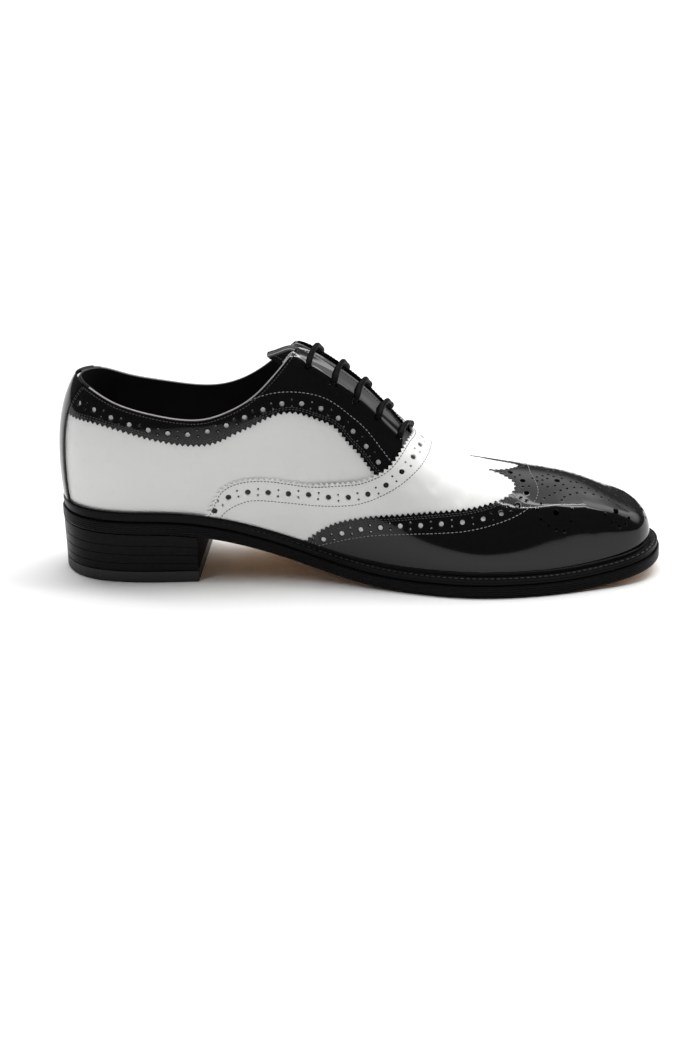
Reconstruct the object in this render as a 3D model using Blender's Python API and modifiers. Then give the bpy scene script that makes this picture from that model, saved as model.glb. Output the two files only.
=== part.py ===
"""Spectator shoe: a men's full-brogue lace-up, left foot, standing empty on its sole.

The last is one surface. A plan outline carries vertical sections that rise from the sole's
edge to a ridge over the foot, and every leather piece is a sheet on that surface.
Stations run from the heel to the toe. Medial is -Y, lateral is +Y, and Z is up.
Sizes below are millimetres; meshes are made in metres.
"""

import bmesh
import bpy
import numpy as np
from mathutils import Vector

MM = 0.001

# Plan outline where the upper meets the welt: half widths at each station.
OUTLINE = {
    "station": [0, 2.5, 8, 18, 34, 55, 80, 105, 130, 155, 180, 205, 225, 245, 263, 278, 290, 297.5, 301.5],
    "medial": [0, 10.5, 19.5, 27, 31, 31, 28.5, 26, 26.5, 31.5, 39, 45, 46, 43, 37.5, 31.5, 26, 20, 12.5],
    "lateral": [0, 10.5, 19.5, 27, 31.5, 33, 33, 33, 34.5, 37.5, 41.5, 44, 43.2, 38.7, 32, 25.5, 19.3, 13, 4.5],
}
TOE_POINT = (302.6, -4.5)

# Height of the ridge over heel, instep and toe, with the cone above the collar.
RIDGE = {
    "station": [0, 60, 100, 124, 140, 160, 177, 195, 215, 235, 252, 266, 278, 290],
    "height": [118, 121, 121.6, 118.7, 110, 93.5, 75.5, 63.3, 55.5, 52.2, 50, 47, 41, 33],
}
RIDGE_LINE = {"station": [0, 60, 120, 177, 215, 262, 302], "side": [0, 0, -1, -2, -3, -4.2, -4.5]}
RIDGE_ENDS = (40, 258)
RIDGE_BLEND = 9.0
RIDGE_TIP = 257.0

# How each wall rises: bulge past the outline, upright foot, and breadth of the crown.
WALL = {
    "station": [0, 20, 60, 100, 140, 177, 215, 250, 278, 302],
    "bulge": [4.3, 3.3, 3.0, 2.5, 2.0, 1.5, 1.0, 0.5, 0.5, 1.5],
    "foot": [38.5, 38.5, 36.5, 38.5, 42, 34, 27, 23, 20, 14],
    "crown": [0.97, 0.97, 1.02, 1.02, 0.68, 0.56, 0.56, 0.66, 0.72, 0.75],
}

# Sole: seat over the heel, shank, flat tread under the ball, and toe spring.
HEEL_SEAT = 26.5
SEAT_SLOPE = 0.02
SHANK = (38, 192)
TREAD_END = 248
TOE_SPRING = 6.5
SOLE_TIP = 309
SPRING_POWER = 2.2
OUTSOLE = 6.4
WELT = 4.3
WELT_BEAD = 1.0
GAP = 0.3
STACK = OUTSOLE + GAP + WELT
SOLE_EDGE = {"station": [0, 60, 120, 160, 200, 302], "outset": [2, 2, 3.5, 6, 7, 7]}
HEEL_BREAST = 72
TOP_LIFT = 6.0
INSOLE = 3.0

# Upper leather with its lining, the panels over it, and the collar and throat.
UPPER_WALL = 2.0
PANEL_WALL = 1.2
PANEL_GAP = 0.6
FOOT_CLEARANCE = 0.5
FOOT_SEARCH = 0.3
SKIRT = 3.4
COLLAR = {
    "station": [0, 10, 30, 60, 85, 105, 118, 124],
    "medial": [104, 102.2, 95.5, 88.2, 87.3, 97.5, 110, 116.5],
    "lateral": [104, 102.4, 95.5, 89.6, 88.6, 101, 113.5, 118.5],
}
THROAT = (124, 176)
THROAT_GAP = (8.0, 5.0)
INSTEP_BEND = (155, 200)

# Panel edges: share of the rise from the welt (0) to the ridge (1) at each station.
WING_EDGE = {
    "station": [126, 135, 143.5, 154, 167, 182, 197, 212.5, 223, 230.5, 234],
    "rise": [0.0, 0.075, 0.13, 0.18, 0.24, 0.315, 0.39, 0.47, 0.545, 0.62, 0.715],
}
WING_PEAK = {"station": [221, 228.6, 234], "rise": [0.985, 0.865, 0.785]}
BAND_TOP = {
    "station": [76, 83, 98.8, 125.8, 144.8, 154.6, 161.7, 171.4, 175.9, 181.9],
    "rise": [0.01, 0.13, 0.215, 0.245, 0.3, 0.345, 0.4, 0.535, 0.67, 1.0],
}
BAND_CROWN, BAND_STEP = 170.5, 1.7
BAND_FOOT = {
    "station": [84, 91, 98.8, 109.3, 124.5, 141.5, 154.6, 166.8, 178.6, 187.8, 191.5],
    "rise": [0.0, 0.075, 0.115, 0.135, 0.155, 0.19, 0.24, 0.33, 0.48, 0.695, 1.0],
}
FACING_EDGE = {
    "station": [8, 20, 40, 56.7, 69.8, 83.1, 91.6, 102.1, 112, 121.8, 136.3, 143.5, 150, 155.9, 163],
    "rise": [0.42, 0.41, 0.37, 0.335, 0.325, 0.345, 0.385, 0.435, 0.485, 0.515, 0.525, 0.525, 0.49, 0.465, 0.42],
}
BACKSTRAP_HALF = 7.5

# Tongue under the facings, and the five bars of a straight lacing.
TONGUE_WALL = 1.8
TONGUE_GAP = 1.0
TONGUE = (108, 188)
TONGUE_HALF = {"station": [108, 116, 130, 188], "half": [14, 19, 23, 20]}
LACE_STATIONS = [130.4, 142.8, 153.9, 164.9, 175.0]
LACE_HALF = 12.6
LACE_RADIUS = 1.5

UPPER_COLUMNS = 80
UPPER_ROWS = 10
SOLE_COLUMNS = 80


def natural_curve(xs, ys):
    """Smooth curve through the rows of a table, straight-ended."""
    xs = np.asarray(xs, float)
    ys = np.asarray(ys, float)
    h = np.diff(xs)
    system = np.eye(len(xs))
    pull = np.zeros(len(xs))
    for i in range(1, len(xs) - 1):
        system[i, i - 1:i + 2] = h[i - 1], 2 * (h[i - 1] + h[i]), h[i]
        pull[i] = 6 * ((ys[i + 1] - ys[i]) / h[i] - (ys[i] - ys[i - 1]) / h[i - 1])
    bend = np.linalg.solve(system, pull)

    def curve(q):
        q = np.asarray(q, float)
        k = np.clip(np.searchsorted(xs, q) - 1, 0, len(xs) - 2)
        left, right, span = q - xs[k], xs[k + 1] - q, h[k]
        cubic = (bend[k] * right ** 3 + bend[k + 1] * left ** 3) / (6 * span)
        line = (ys[k] / span - bend[k] * span / 6) * right + (ys[k + 1] / span - bend[k + 1] * span / 6) * left
        return cubic + line

    return curve


def loop_curve(knots, ys):
    """Smooth closed curve: the same table laid three times end to end."""
    period = knots[-1] - knots[0]
    around = np.concatenate([knots[:-1] - period, knots[:-1], knots + period])
    return natural_curve(around, np.concatenate([ys[:-1], ys[:-1], ys]))


def steady_curve(xs, ys):
    """Curve through a table that never swings past its rows."""
    xs = np.asarray(xs, float)
    ys = np.asarray(ys, float)
    h = np.diff(xs)
    slope = np.diff(ys) / h
    tangent = np.concatenate([slope[:1], np.zeros(len(xs) - 2), slope[-1:]])
    for i in range(1, len(xs) - 1):
        if slope[i - 1] * slope[i] > 0:
            near, far = 2 * h[i] + h[i - 1], h[i] + 2 * h[i - 1]
            tangent[i] = (near + far) / (near / slope[i - 1] + far / slope[i])

    def curve(q):
        q = np.clip(q, xs[0], xs[-1])
        k = np.clip(np.searchsorted(xs, q) - 1, 0, len(h) - 1)
        t = (q - xs[k]) / h[k]
        ends = (1 + 2 * t) * (1 - t) ** 2 * ys[k] + t * t * (3 - 2 * t) * ys[k + 1]
        return ends + h[k] * (t * (1 - t) ** 2 * tangent[k] + t * t * (t - 1) * tangent[k + 1])

    return curve


def outline_curves():
    """Plan outline by a turn from -1 (toe) by the medial side to 0 (heel) and back to 1 (toe)."""
    station = np.array(OUTLINE["station"] + [TOE_POINT[0]], float)
    medial, lateral = np.array(OUTLINE["medial"], float), np.array(OUTLINE["lateral"], float)
    middle = np.append((medial + lateral) / 2, 0)
    steps = np.sqrt(np.hypot(np.diff(station), np.diff(middle)))
    knots = np.concatenate([[0], np.cumsum(steps)])
    knots = knots / knots[-1]
    turns = np.concatenate([-knots[::-1], knots[1:]])
    along = loop_curve(turns, np.concatenate([station[::-1], station[1:]]))
    across = np.concatenate([[TOE_POINT[1]], -medial[::-1], lateral[1:], [TOE_POINT[1]]])
    return along, loop_curve(turns, across)


OUTLINE_X, OUTLINE_Y = outline_curves()
RIDGE_Z = natural_curve(RIDGE["station"], RIDGE["height"])
RIDGE_Y = natural_curve(RIDGE_LINE["station"], RIDGE_LINE["side"])
WALLS = {key: natural_curve(WALL["station"], WALL[key]) for key in ("bulge", "foot", "crown")}
ORIGIN_STATION = 153.3
ORIGIN_SIDE = -1.0


def sole_height(station):
    """Height of the outsole's tread surface above the floor."""
    station = np.asarray(station, float)
    t = np.clip((SHANK[1] - station) / (SHANK[1] - SHANK[0]), 0, 1)
    arch = HEEL_SEAT * t ** 3 * (t * (6 * t - 15) + 10) + SEAT_SLOPE * np.maximum(0, SHANK[0] - station)
    spring = np.maximum(0, station - TREAD_END) / (SOLE_TIP - TREAD_END)
    return arch + TOE_SPRING * spring ** SPRING_POWER


def soft_clamp(q, low, high):
    """Holds q between low and high with rounded corners."""
    q = low + RIDGE_BLEND * np.logaddexp(0, (q - low) / RIDGE_BLEND)
    return high - RIDGE_BLEND * np.logaddexp(0, (high - q) / RIDGE_BLEND)


def turn_at(station, side):
    """Turn of the outline at a station on one side (-1 medial, 1 lateral)."""
    turns = np.linspace(0, 1, 2001)
    return side * np.interp(station, OUTLINE_X(turns), turns)


def last_points(turn, rise):
    """Points of the last for arrays of turn and rise, in millimetres."""
    turn, t = np.asarray(turn, float), 1 - np.asarray(rise, float)
    foot_x, foot_y = OUTLINE_X(turn), OUTLINE_Y(turn)
    foot_z = sole_height(foot_x) + STACK
    top_x = soft_clamp(foot_x, *RIDGE_ENDS)
    top_y, top_z = RIDGE_Y(top_x), RIDGE_Z(top_x)
    slope = RIDGE_Z(top_x + 0.5) - RIDGE_Z(top_x - 0.5)
    reach = np.hypot(foot_x - top_x, foot_y - top_y)
    out_x, out_y = (foot_x - top_x) / reach, (foot_y - top_y) / reach
    crown = WALLS["crown"](foot_x) * reach
    b1, b2, b3 = 3 * t * (1 - t) ** 2, 3 * t * t * (1 - t), t ** 3
    r = b1 * crown + b2 * (reach + WALLS["bulge"](foot_x)) + b3 * reach
    z = ((1 - t) ** 3 * top_z + b1 * (top_z + crown * slope * out_x)
         + b2 * (foot_z + WALLS["foot"](foot_x)) + b3 * foot_z)
    return np.stack([top_x + r * out_x, top_y + r * out_y, z], -1)


def rise_where(turn, measure, value):
    """Highest rise on each section at which a falling measure of its points reaches a value."""
    steps = np.linspace(1, 0, 401)
    found = []
    for one_turn, one_value in zip(turn, value):
        size = measure(last_points(np.full(steps.shape, one_turn), steps), one_turn)
        found.append(np.interp(-one_value, -size, steps))
    return np.array(found)


def height_of(points, turn):
    return points[:, 2]


def nearness_of(points, turn):
    """Minus the plan distance from the ridge."""
    top = last_points(np.array([turn]), np.array([1.0]))[0]
    return -np.hypot(points[:, 0] - top[0], points[:, 1] - top[1])


def top_rise(turns):
    """Rise of the upper's own top edge: collar, then throat, then the closed ridge."""
    station = OUTLINE_X(turns)
    collar = {side: steady_curve(COLLAR["station"], COLLAR[side]) for side in ("medial", "lateral")}
    height = np.where(turns < 0, collar["medial"](station), collar["lateral"](station))
    gap = np.interp(station, THROAT, THROAT_GAP) / 2
    by_collar = rise_where(turns, height_of, height)
    by_throat = rise_where(turns, nearness_of, -gap)
    rise = np.where(station < THROAT[0], np.minimum(by_collar, by_throat), by_throat)
    return np.where(station > THROAT[1], 1.0, rise)


def offset_points(turn, rise, distance):
    """Last points moved out along the surface's normal."""
    small = 1e-3
    lower, higher = np.clip(rise - small, 0, 1), np.clip(rise + small, 0, 1)
    across = last_points(turn + small, rise) - last_points(turn - small, rise)
    upward = last_points(turn, higher) - last_points(turn, lower)
    normal = np.cross(upward, across)
    normal /= np.linalg.norm(normal, axis=-1, keepdims=True) + 1e-9
    ridge = rise > 0.999
    level = RIDGE_Z(last_points(turn, rise)[..., 0] + 0.5) - RIDGE_Z(last_points(turn, rise)[..., 0] - 0.5)
    crest = np.stack([-level, np.zeros_like(level), np.ones_like(level)], -1)
    crest /= np.linalg.norm(crest, axis=-1, keepdims=True)
    normal = np.where(ridge[..., None], crest, normal)
    return last_points(turn, rise) + distance * normal


def sheet(name, material, turns, rises, wall, lift=0.0, keep=None, skirt=0.0):
    """Leather on the last: columns at turns, rows at rises, given a wall that grows inwards."""
    turn = np.repeat(np.asarray(turns)[:, None], rises.shape[1], 1)
    points = offset_points(turn, rises, lift) if lift else last_points(turn, rises)
    tip = offset_points(np.array([1.0]), np.array([1.0]), lift)[0]
    ridge = (rises > 0.999) & (soft_clamp(OUTLINE_X(turn), *RIDGE_ENDS) > RIDGE_TIP)
    points[ridge] = tip
    if skirt:
        hem = points[:, :1].copy()
        hem[:, :, 2] -= skirt
        points = np.concatenate([hem, points], 1)
    return lofted(name, material, points, wall, keep)


def lofted(name, material, points, wall, keep):
    """Joins a grid of points by faces and thickens it inwards."""
    bm = bmesh.new()
    grid = [[bm.verts.new(to_world(point)) for point in column] for column in points]
    for i in range(len(grid) - 1):
        for j in range(len(grid[0]) - 1):
            if keep is None or keep(i, j):
                bm.faces.new((grid[i][j], grid[i + 1][j], grid[i + 1][j + 1], grid[i][j + 1]))
    bmesh.ops.delete(bm, geom=[v for v in bm.verts if not v.link_faces], context="VERTS")
    bmesh.ops.remove_doubles(bm, verts=bm.verts, dist=0.02 * MM)
    bmesh.ops.dissolve_degenerate(bm, edges=bm.edges, dist=0.01 * MM)
    face_outwards(bm)
    bmesh.ops.triangulate(bm, faces=bm.faces)
    obj = new_object(name, bm, material)
    solid = obj.modifiers.new("Wall", "SOLIDIFY")
    solid.thickness = wall * MM
    solid.offset = -1
    solid.use_even_offset = True
    return obj


def face_outwards(bm):
    """Turns an open sheet so that its faces point away from the inside of the foot."""
    bmesh.ops.recalc_face_normals(bm, faces=bm.faces)
    inside = Vector(to_world((150, 0, 40)))
    away = sum((f.calc_center_median() - inside).dot(f.normal) * f.calc_area() for f in bm.faces)
    if away < 0:
        bmesh.ops.reverse_faces(bm, faces=bm.faces)


def to_world(point):
    """Station, side and height in millimetres to metres about the origin."""
    return ((point[0] - ORIGIN_STATION) * MM, (point[1] - ORIGIN_SIDE) * MM, point[2] * MM)


def new_object(name, bm, material, smooth=True):
    mesh = bpy.data.meshes.new(name)
    bm.to_mesh(mesh)
    bm.free()
    mesh.materials.append(material)
    if smooth:
        mesh.shade_smooth()
        mesh.set_sharp_from_angle(angle=0.7)
    obj = bpy.data.objects.new(name, mesh)
    PARTS.objects.link(obj)
    return obj


def edge_loop(outset, turns):
    """Outline moved out by a distance in plan, as stations and sides."""
    small = 1e-3
    across_x = OUTLINE_X(turns + small) - OUTLINE_X(turns - small)
    across_y = OUTLINE_Y(turns + small) - OUTLINE_Y(turns - small)
    length = np.hypot(across_x, across_y)
    return OUTLINE_X(turns) - outset * across_y / length, OUTLINE_Y(turns) + outset * across_x / length


def sole_edge(turns):
    """How far the outsole stands out past the upper."""
    return np.interp(OUTLINE_X(turns), SOLE_EDGE["station"], SOLE_EDGE["outset"])


def level_loop(bm, turns, outset, height):
    """One loop of vertices round the sole at an outset and a height."""
    x, y = edge_loop(outset, turns)
    z = height(x)
    return [bm.verts.new(to_world(point)) for point in zip(x, y, z)]


def band(bm, low, high, closed):
    """Faces between two loops of the same count."""
    count = len(low)
    for i in range(count if closed else count - 1):
        k = (i + 1) % count
        bm.faces.new((low[i], low[k], high[k], high[i]))


def cap(bm, loop):
    """Faces across a loop from its medial to its lateral side, from the heel on."""
    half = len(loop) // 2
    for i in range(half):
        a, b = loop[(half + i) % len(loop)], loop[(half + i + 1) % len(loop)]
        c, d = loop[(half - i - 1) % len(loop)], loop[(half - i) % len(loop)]
        corners = list(dict.fromkeys((a, b, c, d)))
        if len(corners) > 2:
            bm.faces.new(corners)


def plate(name, material, levels, turns, closed=True):
    """Solid plate: loops at each level, capped below and above."""
    bm = bmesh.new()
    loops = [level_loop(bm, turns, outset, height) for outset, height in levels]
    for low, high in zip(loops, loops[1:]):
        band(bm, low, high, closed)
    for loop in (loops[0], loops[-1]):
        if closed:
            cap(bm, loop)
        else:
            strip_cap(bm, loop)
    if not closed:
        for low, high in zip(loops, loops[1:]):
            bm.faces.new((low[0], high[0], high[-1], low[-1]))
    bmesh.ops.recalc_face_normals(bm, faces=bm.faces)
    return new_object(name, bm, material)


def strip_cap(bm, loop):
    """Faces across an open loop that starts and ends at the heel's breast."""
    last = len(loop) - 1
    for i in range(last // 2):
        corners = list(dict.fromkeys((loop[i], loop[i + 1], loop[last - i - 1], loop[last - i])))
        if len(corners) > 2:
            bm.faces.new(corners)


def above_tread(extra):
    return lambda x: sole_height(x) + extra


def level(height):
    return lambda x: np.full(np.shape(x), float(height))


def sole_turns():
    return np.linspace(-1, 1, SOLE_COLUMNS + 1)[:-1]


def make_outsole(material):
    """Outsole whose side has a lower bevel, two shallow grooves and an upper lip."""
    turns = sole_turns()
    edge = sole_edge(turns)
    side = [(-1.2, 0.0), (-0.2, 0.6), (0.0, 2.4), (-0.35, 2.8), (0.0, 3.2), (0.0, 5.7), (-0.7, OUTSOLE)]
    return plate("outsole", material, [(edge + step, above_tread(rise)) for step, rise in side], turns)


def make_welt(material):
    """Storm welt: a ledge with a stitch groove and a raised bead against the upper."""
    turns = sole_turns()
    edge = sole_edge(turns) - 1.0
    foot = OUTSOLE + GAP
    thin = np.minimum(edge - GAP, 1.0)
    side = [(GAP + 0 * edge, foot), (edge - 0.4, foot), (edge, foot + 0.6), (edge, foot + 2.9),
            (edge - 0.35 * thin, foot + 3.3), (2.0 * thin, foot + 3.0), (1.5 * thin, foot + WELT + WELT_BEAD),
            (GAP + 0 * edge, foot + WELT + WELT_BEAD - 0.3)]
    bm = bmesh.new()
    loops = [level_loop(bm, turns, outset, above_tread(rise)) for outset, rise in side]
    for low, high in zip(loops, loops[1:] + loops[:1]):
        band(bm, low, high, True)
    bmesh.ops.recalc_face_normals(bm, faces=bm.faces)
    return new_object("welt", bm, material)


def make_insole(material):
    """Insole board and sock inside the wall of the upper."""
    turns = sole_turns()
    inset = -(UPPER_WALL + 0.5) + 0 * turns
    foot = OUTSOLE + GAP
    return plate("insole", material, [(inset, above_tread(foot)), (inset, above_tread(foot + INSOLE))], turns)


def heel_turns(breast):
    return np.linspace(turn_at(breast, -1), turn_at(breast, 1), 33)


def make_heel(block_material, lift_material):
    """Stacked heel under the seat, and the lift that it walks on."""
    turns = heel_turns(HEEL_BREAST)
    edge = sole_edge(turns)
    plate("top_lift", lift_material, [(edge - 1.6, level(0)), (edge - 1.0, level(0.6)),
                                      (edge - 1.0, level(TOP_LIFT))], turns, closed=False)
    plate("heel_block", block_material, [(edge - 1.0, level(TOP_LIFT + GAP)), (edge - 0.3, above_tread(-GAP))],
          turns, closed=False)


def upper_turns():
    """Columns of the upper: even turns, halved where the instep bends."""
    even = np.linspace(-1, 1, UPPER_COLUMNS + 1)
    halves = (even[1:] + even[:-1]) / 2
    station = OUTLINE_X(halves)
    return np.sort(np.append(even, halves[(station > INSTEP_BEND[0]) & (station < INSTEP_BEND[1])]))


def make_upper(material):
    """Quarters and vamp as one hollow wall, open at collar, throat and foot."""
    turns = upper_turns()
    tops = top_rise(turns)
    rises = tops[:, None] * np.linspace(0, 1, UPPER_ROWS + 1)[None, :]
    return sheet("upper", material, turns, rises, UPPER_WALL, skirt=SKIRT)


def panel_turns(start, end, side):
    """Turns between two stations: the upper's own columns, and the panel's two ends."""
    own = np.unique(np.abs(upper_turns()).round(9))
    low, high = abs(turn_at(start, 1)), abs(turn_at(end, 1))
    inner = own[(own > low + 0.004) & (own < high - 0.004)]
    return side * np.concatenate([[low], inner, [high]])


def panel_foot(turns):
    """Rise at which a panel's outer face clears the bead of the welt."""
    steps = np.linspace(0, FOOT_SEARCH, 61)
    found = []
    for turn in turns:
        points = offset_points(np.full(steps.shape, turn), steps, PANEL_GAP + PANEL_WALL)
        above_bead = points[:, 2] - sole_height(points[:, 0]) - STACK - WELT_BEAD
        found.append(np.interp(FOOT_CLEARANCE, above_bead, steps))
    return np.array(found)


def between(low, high, rows):
    share = np.linspace(0, 1, rows + 1)[None, :]
    return low[:, None] * (1 - share) + high[:, None] * share


def panel(name, material, turns, rises, keep=None):
    return sheet(name, material, turns, rises, PANEL_WALL, lift=PANEL_GAP + PANEL_WALL, keep=keep)


def make_toe_cap(material):
    """Wing tip: two wings run back along the sole and a peak points up the ridge."""
    valley, tip = WING_EDGE["station"][-1], WING_PEAK["station"][0]
    back = panel_turns(WING_EDGE["station"][0] + 6, valley, 1)
    back = np.sort(np.append(back, turn_at(tip, 1)))
    front = panel_turns(valley, 302.0, 1)[1:]
    half = np.concatenate([back, front, [1.0]])
    turns = np.concatenate([-half, half[::-1][1:]])
    station = OUTLINE_X(turns)
    edge = steady_curve(WING_EDGE["station"], WING_EDGE["rise"])(station)
    peak = steady_curve(WING_PEAK["station"], WING_PEAK["rise"])(station)
    forward = np.clip((station - valley) / (302 - valley), 0, 1)[:, None]
    foot = panel_foot(turns)
    rises = np.concatenate([between(foot, np.maximum(edge, foot), 4), between(peak, 1 + 0 * peak, 3)], 1)
    full = between(foot, 1 + 0 * foot, rises.shape[1] - 1)
    rises = rises * (1 - forward) + full * forward

    def keep(i, j):
        here = min(station[i], station[i + 1])
        return j < 4 or here > valley - 0.1 or (j > 4 and here > tip - 0.1)

    return panel("toe_cap", material, turns, rises, keep)


def make_vamp_band(material):
    """Upper edge of the vamp: a strip from the waist of the sole over the instep."""
    end = BAND_FOOT["station"][-1] - 0.5
    over_instep = turn_at(np.arange(BAND_CROWN, end - BAND_STEP / 2, BAND_STEP), 1)
    half = panel_turns(BAND_TOP["station"][0] + 2, BAND_CROWN - BAND_STEP, 1)
    half = np.concatenate([half, over_instep, [turn_at(end, 1)]])
    station = OUTLINE_X(half)
    high = steady_curve(BAND_TOP["station"], BAND_TOP["rise"])(station)
    low = steady_curve(BAND_FOOT["station"], BAND_FOOT["rise"])(station)
    high = np.where(station > BAND_TOP["station"][-1], 1.0, high)
    foot = panel_foot(half)
    rises = between(np.clip(low, foot, high - 0.01), high, 3)
    turns = np.concatenate([-half, half[::-1]])
    middle = len(half) - 1
    return panel("vamp_band", material, turns, np.concatenate([rises, rises[::-1]]),
                 lambda i, j: i != middle)


def make_facing(name, side, material):
    """Facing and collar in one: from the backstrap along the collar to the foot of the throat."""
    start = BACKSTRAP_HALF_STATION
    turns = panel_turns(start, THROAT[1] - 1, side)
    station = OUTLINE_X(turns)
    low = steady_curve(FACING_EDGE["station"], FACING_EDGE["rise"])(station)
    band_top = steady_curve(BAND_TOP["station"], BAND_TOP["rise"])(station) + 0.012
    low = np.where(station > 150, np.maximum(low, band_top), low)
    high = top_rise(turns) - 0.004
    return panel(name, material, turns, between(low, np.maximum(high, low + 0.02), 5))


BACKSTRAP_HALF_STATION = 2.6


def make_backstrap(material):
    """Strap over the seam at the back of the heel, from the collar to the welt."""
    end = abs(turn_at(1.55, 1))
    turns = np.linspace(-end, end, 5)
    tops = top_rise(turns) - 0.004
    return panel("backstrap", material, turns, between(panel_foot(turns), tops, 9))


def make_tongue(material):
    """Tongue under the facings, standing up behind the throat."""
    half = panel_turns(TONGUE[0], TONGUE[1], 1)
    width = np.interp(OUTLINE_X(half), TONGUE_HALF["station"], TONGUE_HALF["half"])
    low = rise_where(half, nearness_of, -width)
    rises = between(low, 1 + 0 * low, 4)
    turns = np.concatenate([-half, half[::-1]])
    low_medial = rise_where(-half, nearness_of, -width)
    grid = np.concatenate([between(low_medial, 1 + 0 * low, 4), rises[::-1]])
    middle = len(half) - 1
    return sheet("tongue", material, turns, grid, TONGUE_WALL, lift=-(UPPER_WALL + TONGUE_GAP),
                 keep=lambda i, j: i != middle)


def make_lace_bar(name, station, material):
    """One bar of the lacing, arched over the facings from hole to hole."""
    lift = PANEL_GAP + PANEL_WALL + LACE_RADIUS + 0.35
    path = []
    for side in np.linspace(-1, 1, 7):
        turn = turn_at(station, -1 if side < 0 else 1)
        rise = rise_where(np.array([turn]), nearness_of, np.array([-abs(side) * LACE_HALF]))
        path.append(offset_points(np.array([turn]), rise, lift)[0])
    curve = bpy.data.curves.new(name, "CURVE")
    curve.dimensions = "3D"
    curve.bevel_depth = LACE_RADIUS * MM
    curve.bevel_resolution = 2
    curve.use_fill_caps = True
    spline = curve.splines.new("POLY")
    spline.points.add(len(path) - 1)
    for point, place in zip(spline.points, path):
        point.co = (*to_world(place), 1)
    curve.materials.append(material)
    obj = bpy.data.objects.new(name, curve)
    PARTS.objects.link(obj)
    return obj


def finish(name, color, roughness, metallic=0.0):
    """Principled material with one colour."""
    material = bpy.data.materials.new(name)
    material.use_nodes = True
    shader = material.node_tree.nodes["Principled BSDF"]
    shader.inputs["Base Color"].default_value = (*color, 1)
    shader.inputs["Roughness"].default_value = roughness
    shader.inputs["Metallic"].default_value = metallic
    return material


for old in list(bpy.data.objects):
    bpy.data.objects.remove(old)
PARTS = bpy.data.collections.new("spectator_shoe")
bpy.context.scene.collection.children.link(PARTS)

white_leather = finish("white_leather", (0.86, 0.86, 0.85), 0.42)
patent_leather = finish("patent_leather", (0.012, 0.012, 0.013), 0.12)
sole_leather = finish("sole_leather", (0.42, 0.26, 0.14), 0.5)
edge_black = finish("edge_black", (0.02, 0.02, 0.02), 0.35)
lining_leather = finish("lining_leather", (0.015, 0.015, 0.015), 0.55)
lift_rubber = finish("lift_rubber", (0.02, 0.02, 0.02), 0.6)
lace_cord = finish("lace_cord", (0.012, 0.012, 0.012), 0.6)

make_outsole(sole_leather)
make_welt(edge_black)
make_heel(edge_black, lift_rubber)
make_upper(white_leather)
make_insole(lining_leather)
make_tongue(patent_leather)
make_toe_cap(patent_leather)
make_vamp_band(white_leather)
make_facing("facing_medial", -1, patent_leather)
make_facing("facing_lateral", 1, patent_leather)
make_backstrap(patent_leather)
for number, lace_station in enumerate(LACE_STATIONS, 1):
    make_lace_bar(f"lace_bar_{number}", lace_station, lace_cord)
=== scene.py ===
"""Spectator shoe: the left shoe of a pair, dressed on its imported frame.

White leather quarters and vamp under black patent facings, wing tip and backstrap, on a
black welted sole. Stations run from the heel to the toe; medial is -Y and lateral is +Y.
Sizes are millimetres, and points become metres in to_world.
"""

import math

import bmesh
import bpy
import numpy as np
from mathutils import Matrix, Vector
from mathutils.geometry import delaunay_2d_cdt
from mathutils.kdtree import KDTree


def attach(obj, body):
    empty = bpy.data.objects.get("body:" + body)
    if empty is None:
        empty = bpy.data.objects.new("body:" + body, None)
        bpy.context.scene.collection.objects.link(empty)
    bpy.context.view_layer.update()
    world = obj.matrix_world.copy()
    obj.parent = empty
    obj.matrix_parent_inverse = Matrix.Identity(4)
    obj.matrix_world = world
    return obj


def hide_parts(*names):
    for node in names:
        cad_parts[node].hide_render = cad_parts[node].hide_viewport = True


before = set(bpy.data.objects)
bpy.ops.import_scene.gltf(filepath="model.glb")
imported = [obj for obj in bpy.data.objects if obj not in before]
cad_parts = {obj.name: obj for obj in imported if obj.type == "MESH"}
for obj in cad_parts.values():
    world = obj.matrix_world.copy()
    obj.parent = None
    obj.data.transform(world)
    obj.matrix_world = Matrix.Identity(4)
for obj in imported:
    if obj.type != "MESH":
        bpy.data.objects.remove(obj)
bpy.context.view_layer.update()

MM = 0.001


# ---- Camera ----------------------------------------------------------
# A standing view of the medial side, a little from above, with the toe to the right.
AIM = Vector((-0.0045, 0.0010, 0.0204))
CAMERA_AZIMUTH, CAMERA_HEIGHT, CAMERA_ROLL = (math.radians(a) for a in (4.0, 19.8, -1.2))
CAMERA_DISTANCE = 1.3

camera = bpy.data.objects.new("camera", bpy.data.cameras.new("camera"))
camera.data.lens, camera.data.sensor_width = 85.1, 36
camera.data.clip_end = 50
towards = Vector((math.sin(CAMERA_AZIMUTH) * math.cos(CAMERA_HEIGHT),
                  -math.cos(CAMERA_AZIMUTH) * math.cos(CAMERA_HEIGHT), math.sin(CAMERA_HEIGHT)))
rightward = Vector((math.cos(CAMERA_AZIMUTH), math.sin(CAMERA_AZIMUTH), 0))
turned = Matrix((rightward, towards.cross(rightward), towards)).transposed()
camera.matrix_world = (Matrix.Translation(AIM + towards * CAMERA_DISTANCE)
                       @ turned.to_4x4() @ Matrix.Rotation(CAMERA_ROLL, 4, "Z"))
bpy.context.scene.collection.objects.link(camera)
bpy.context.scene.camera = camera


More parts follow.
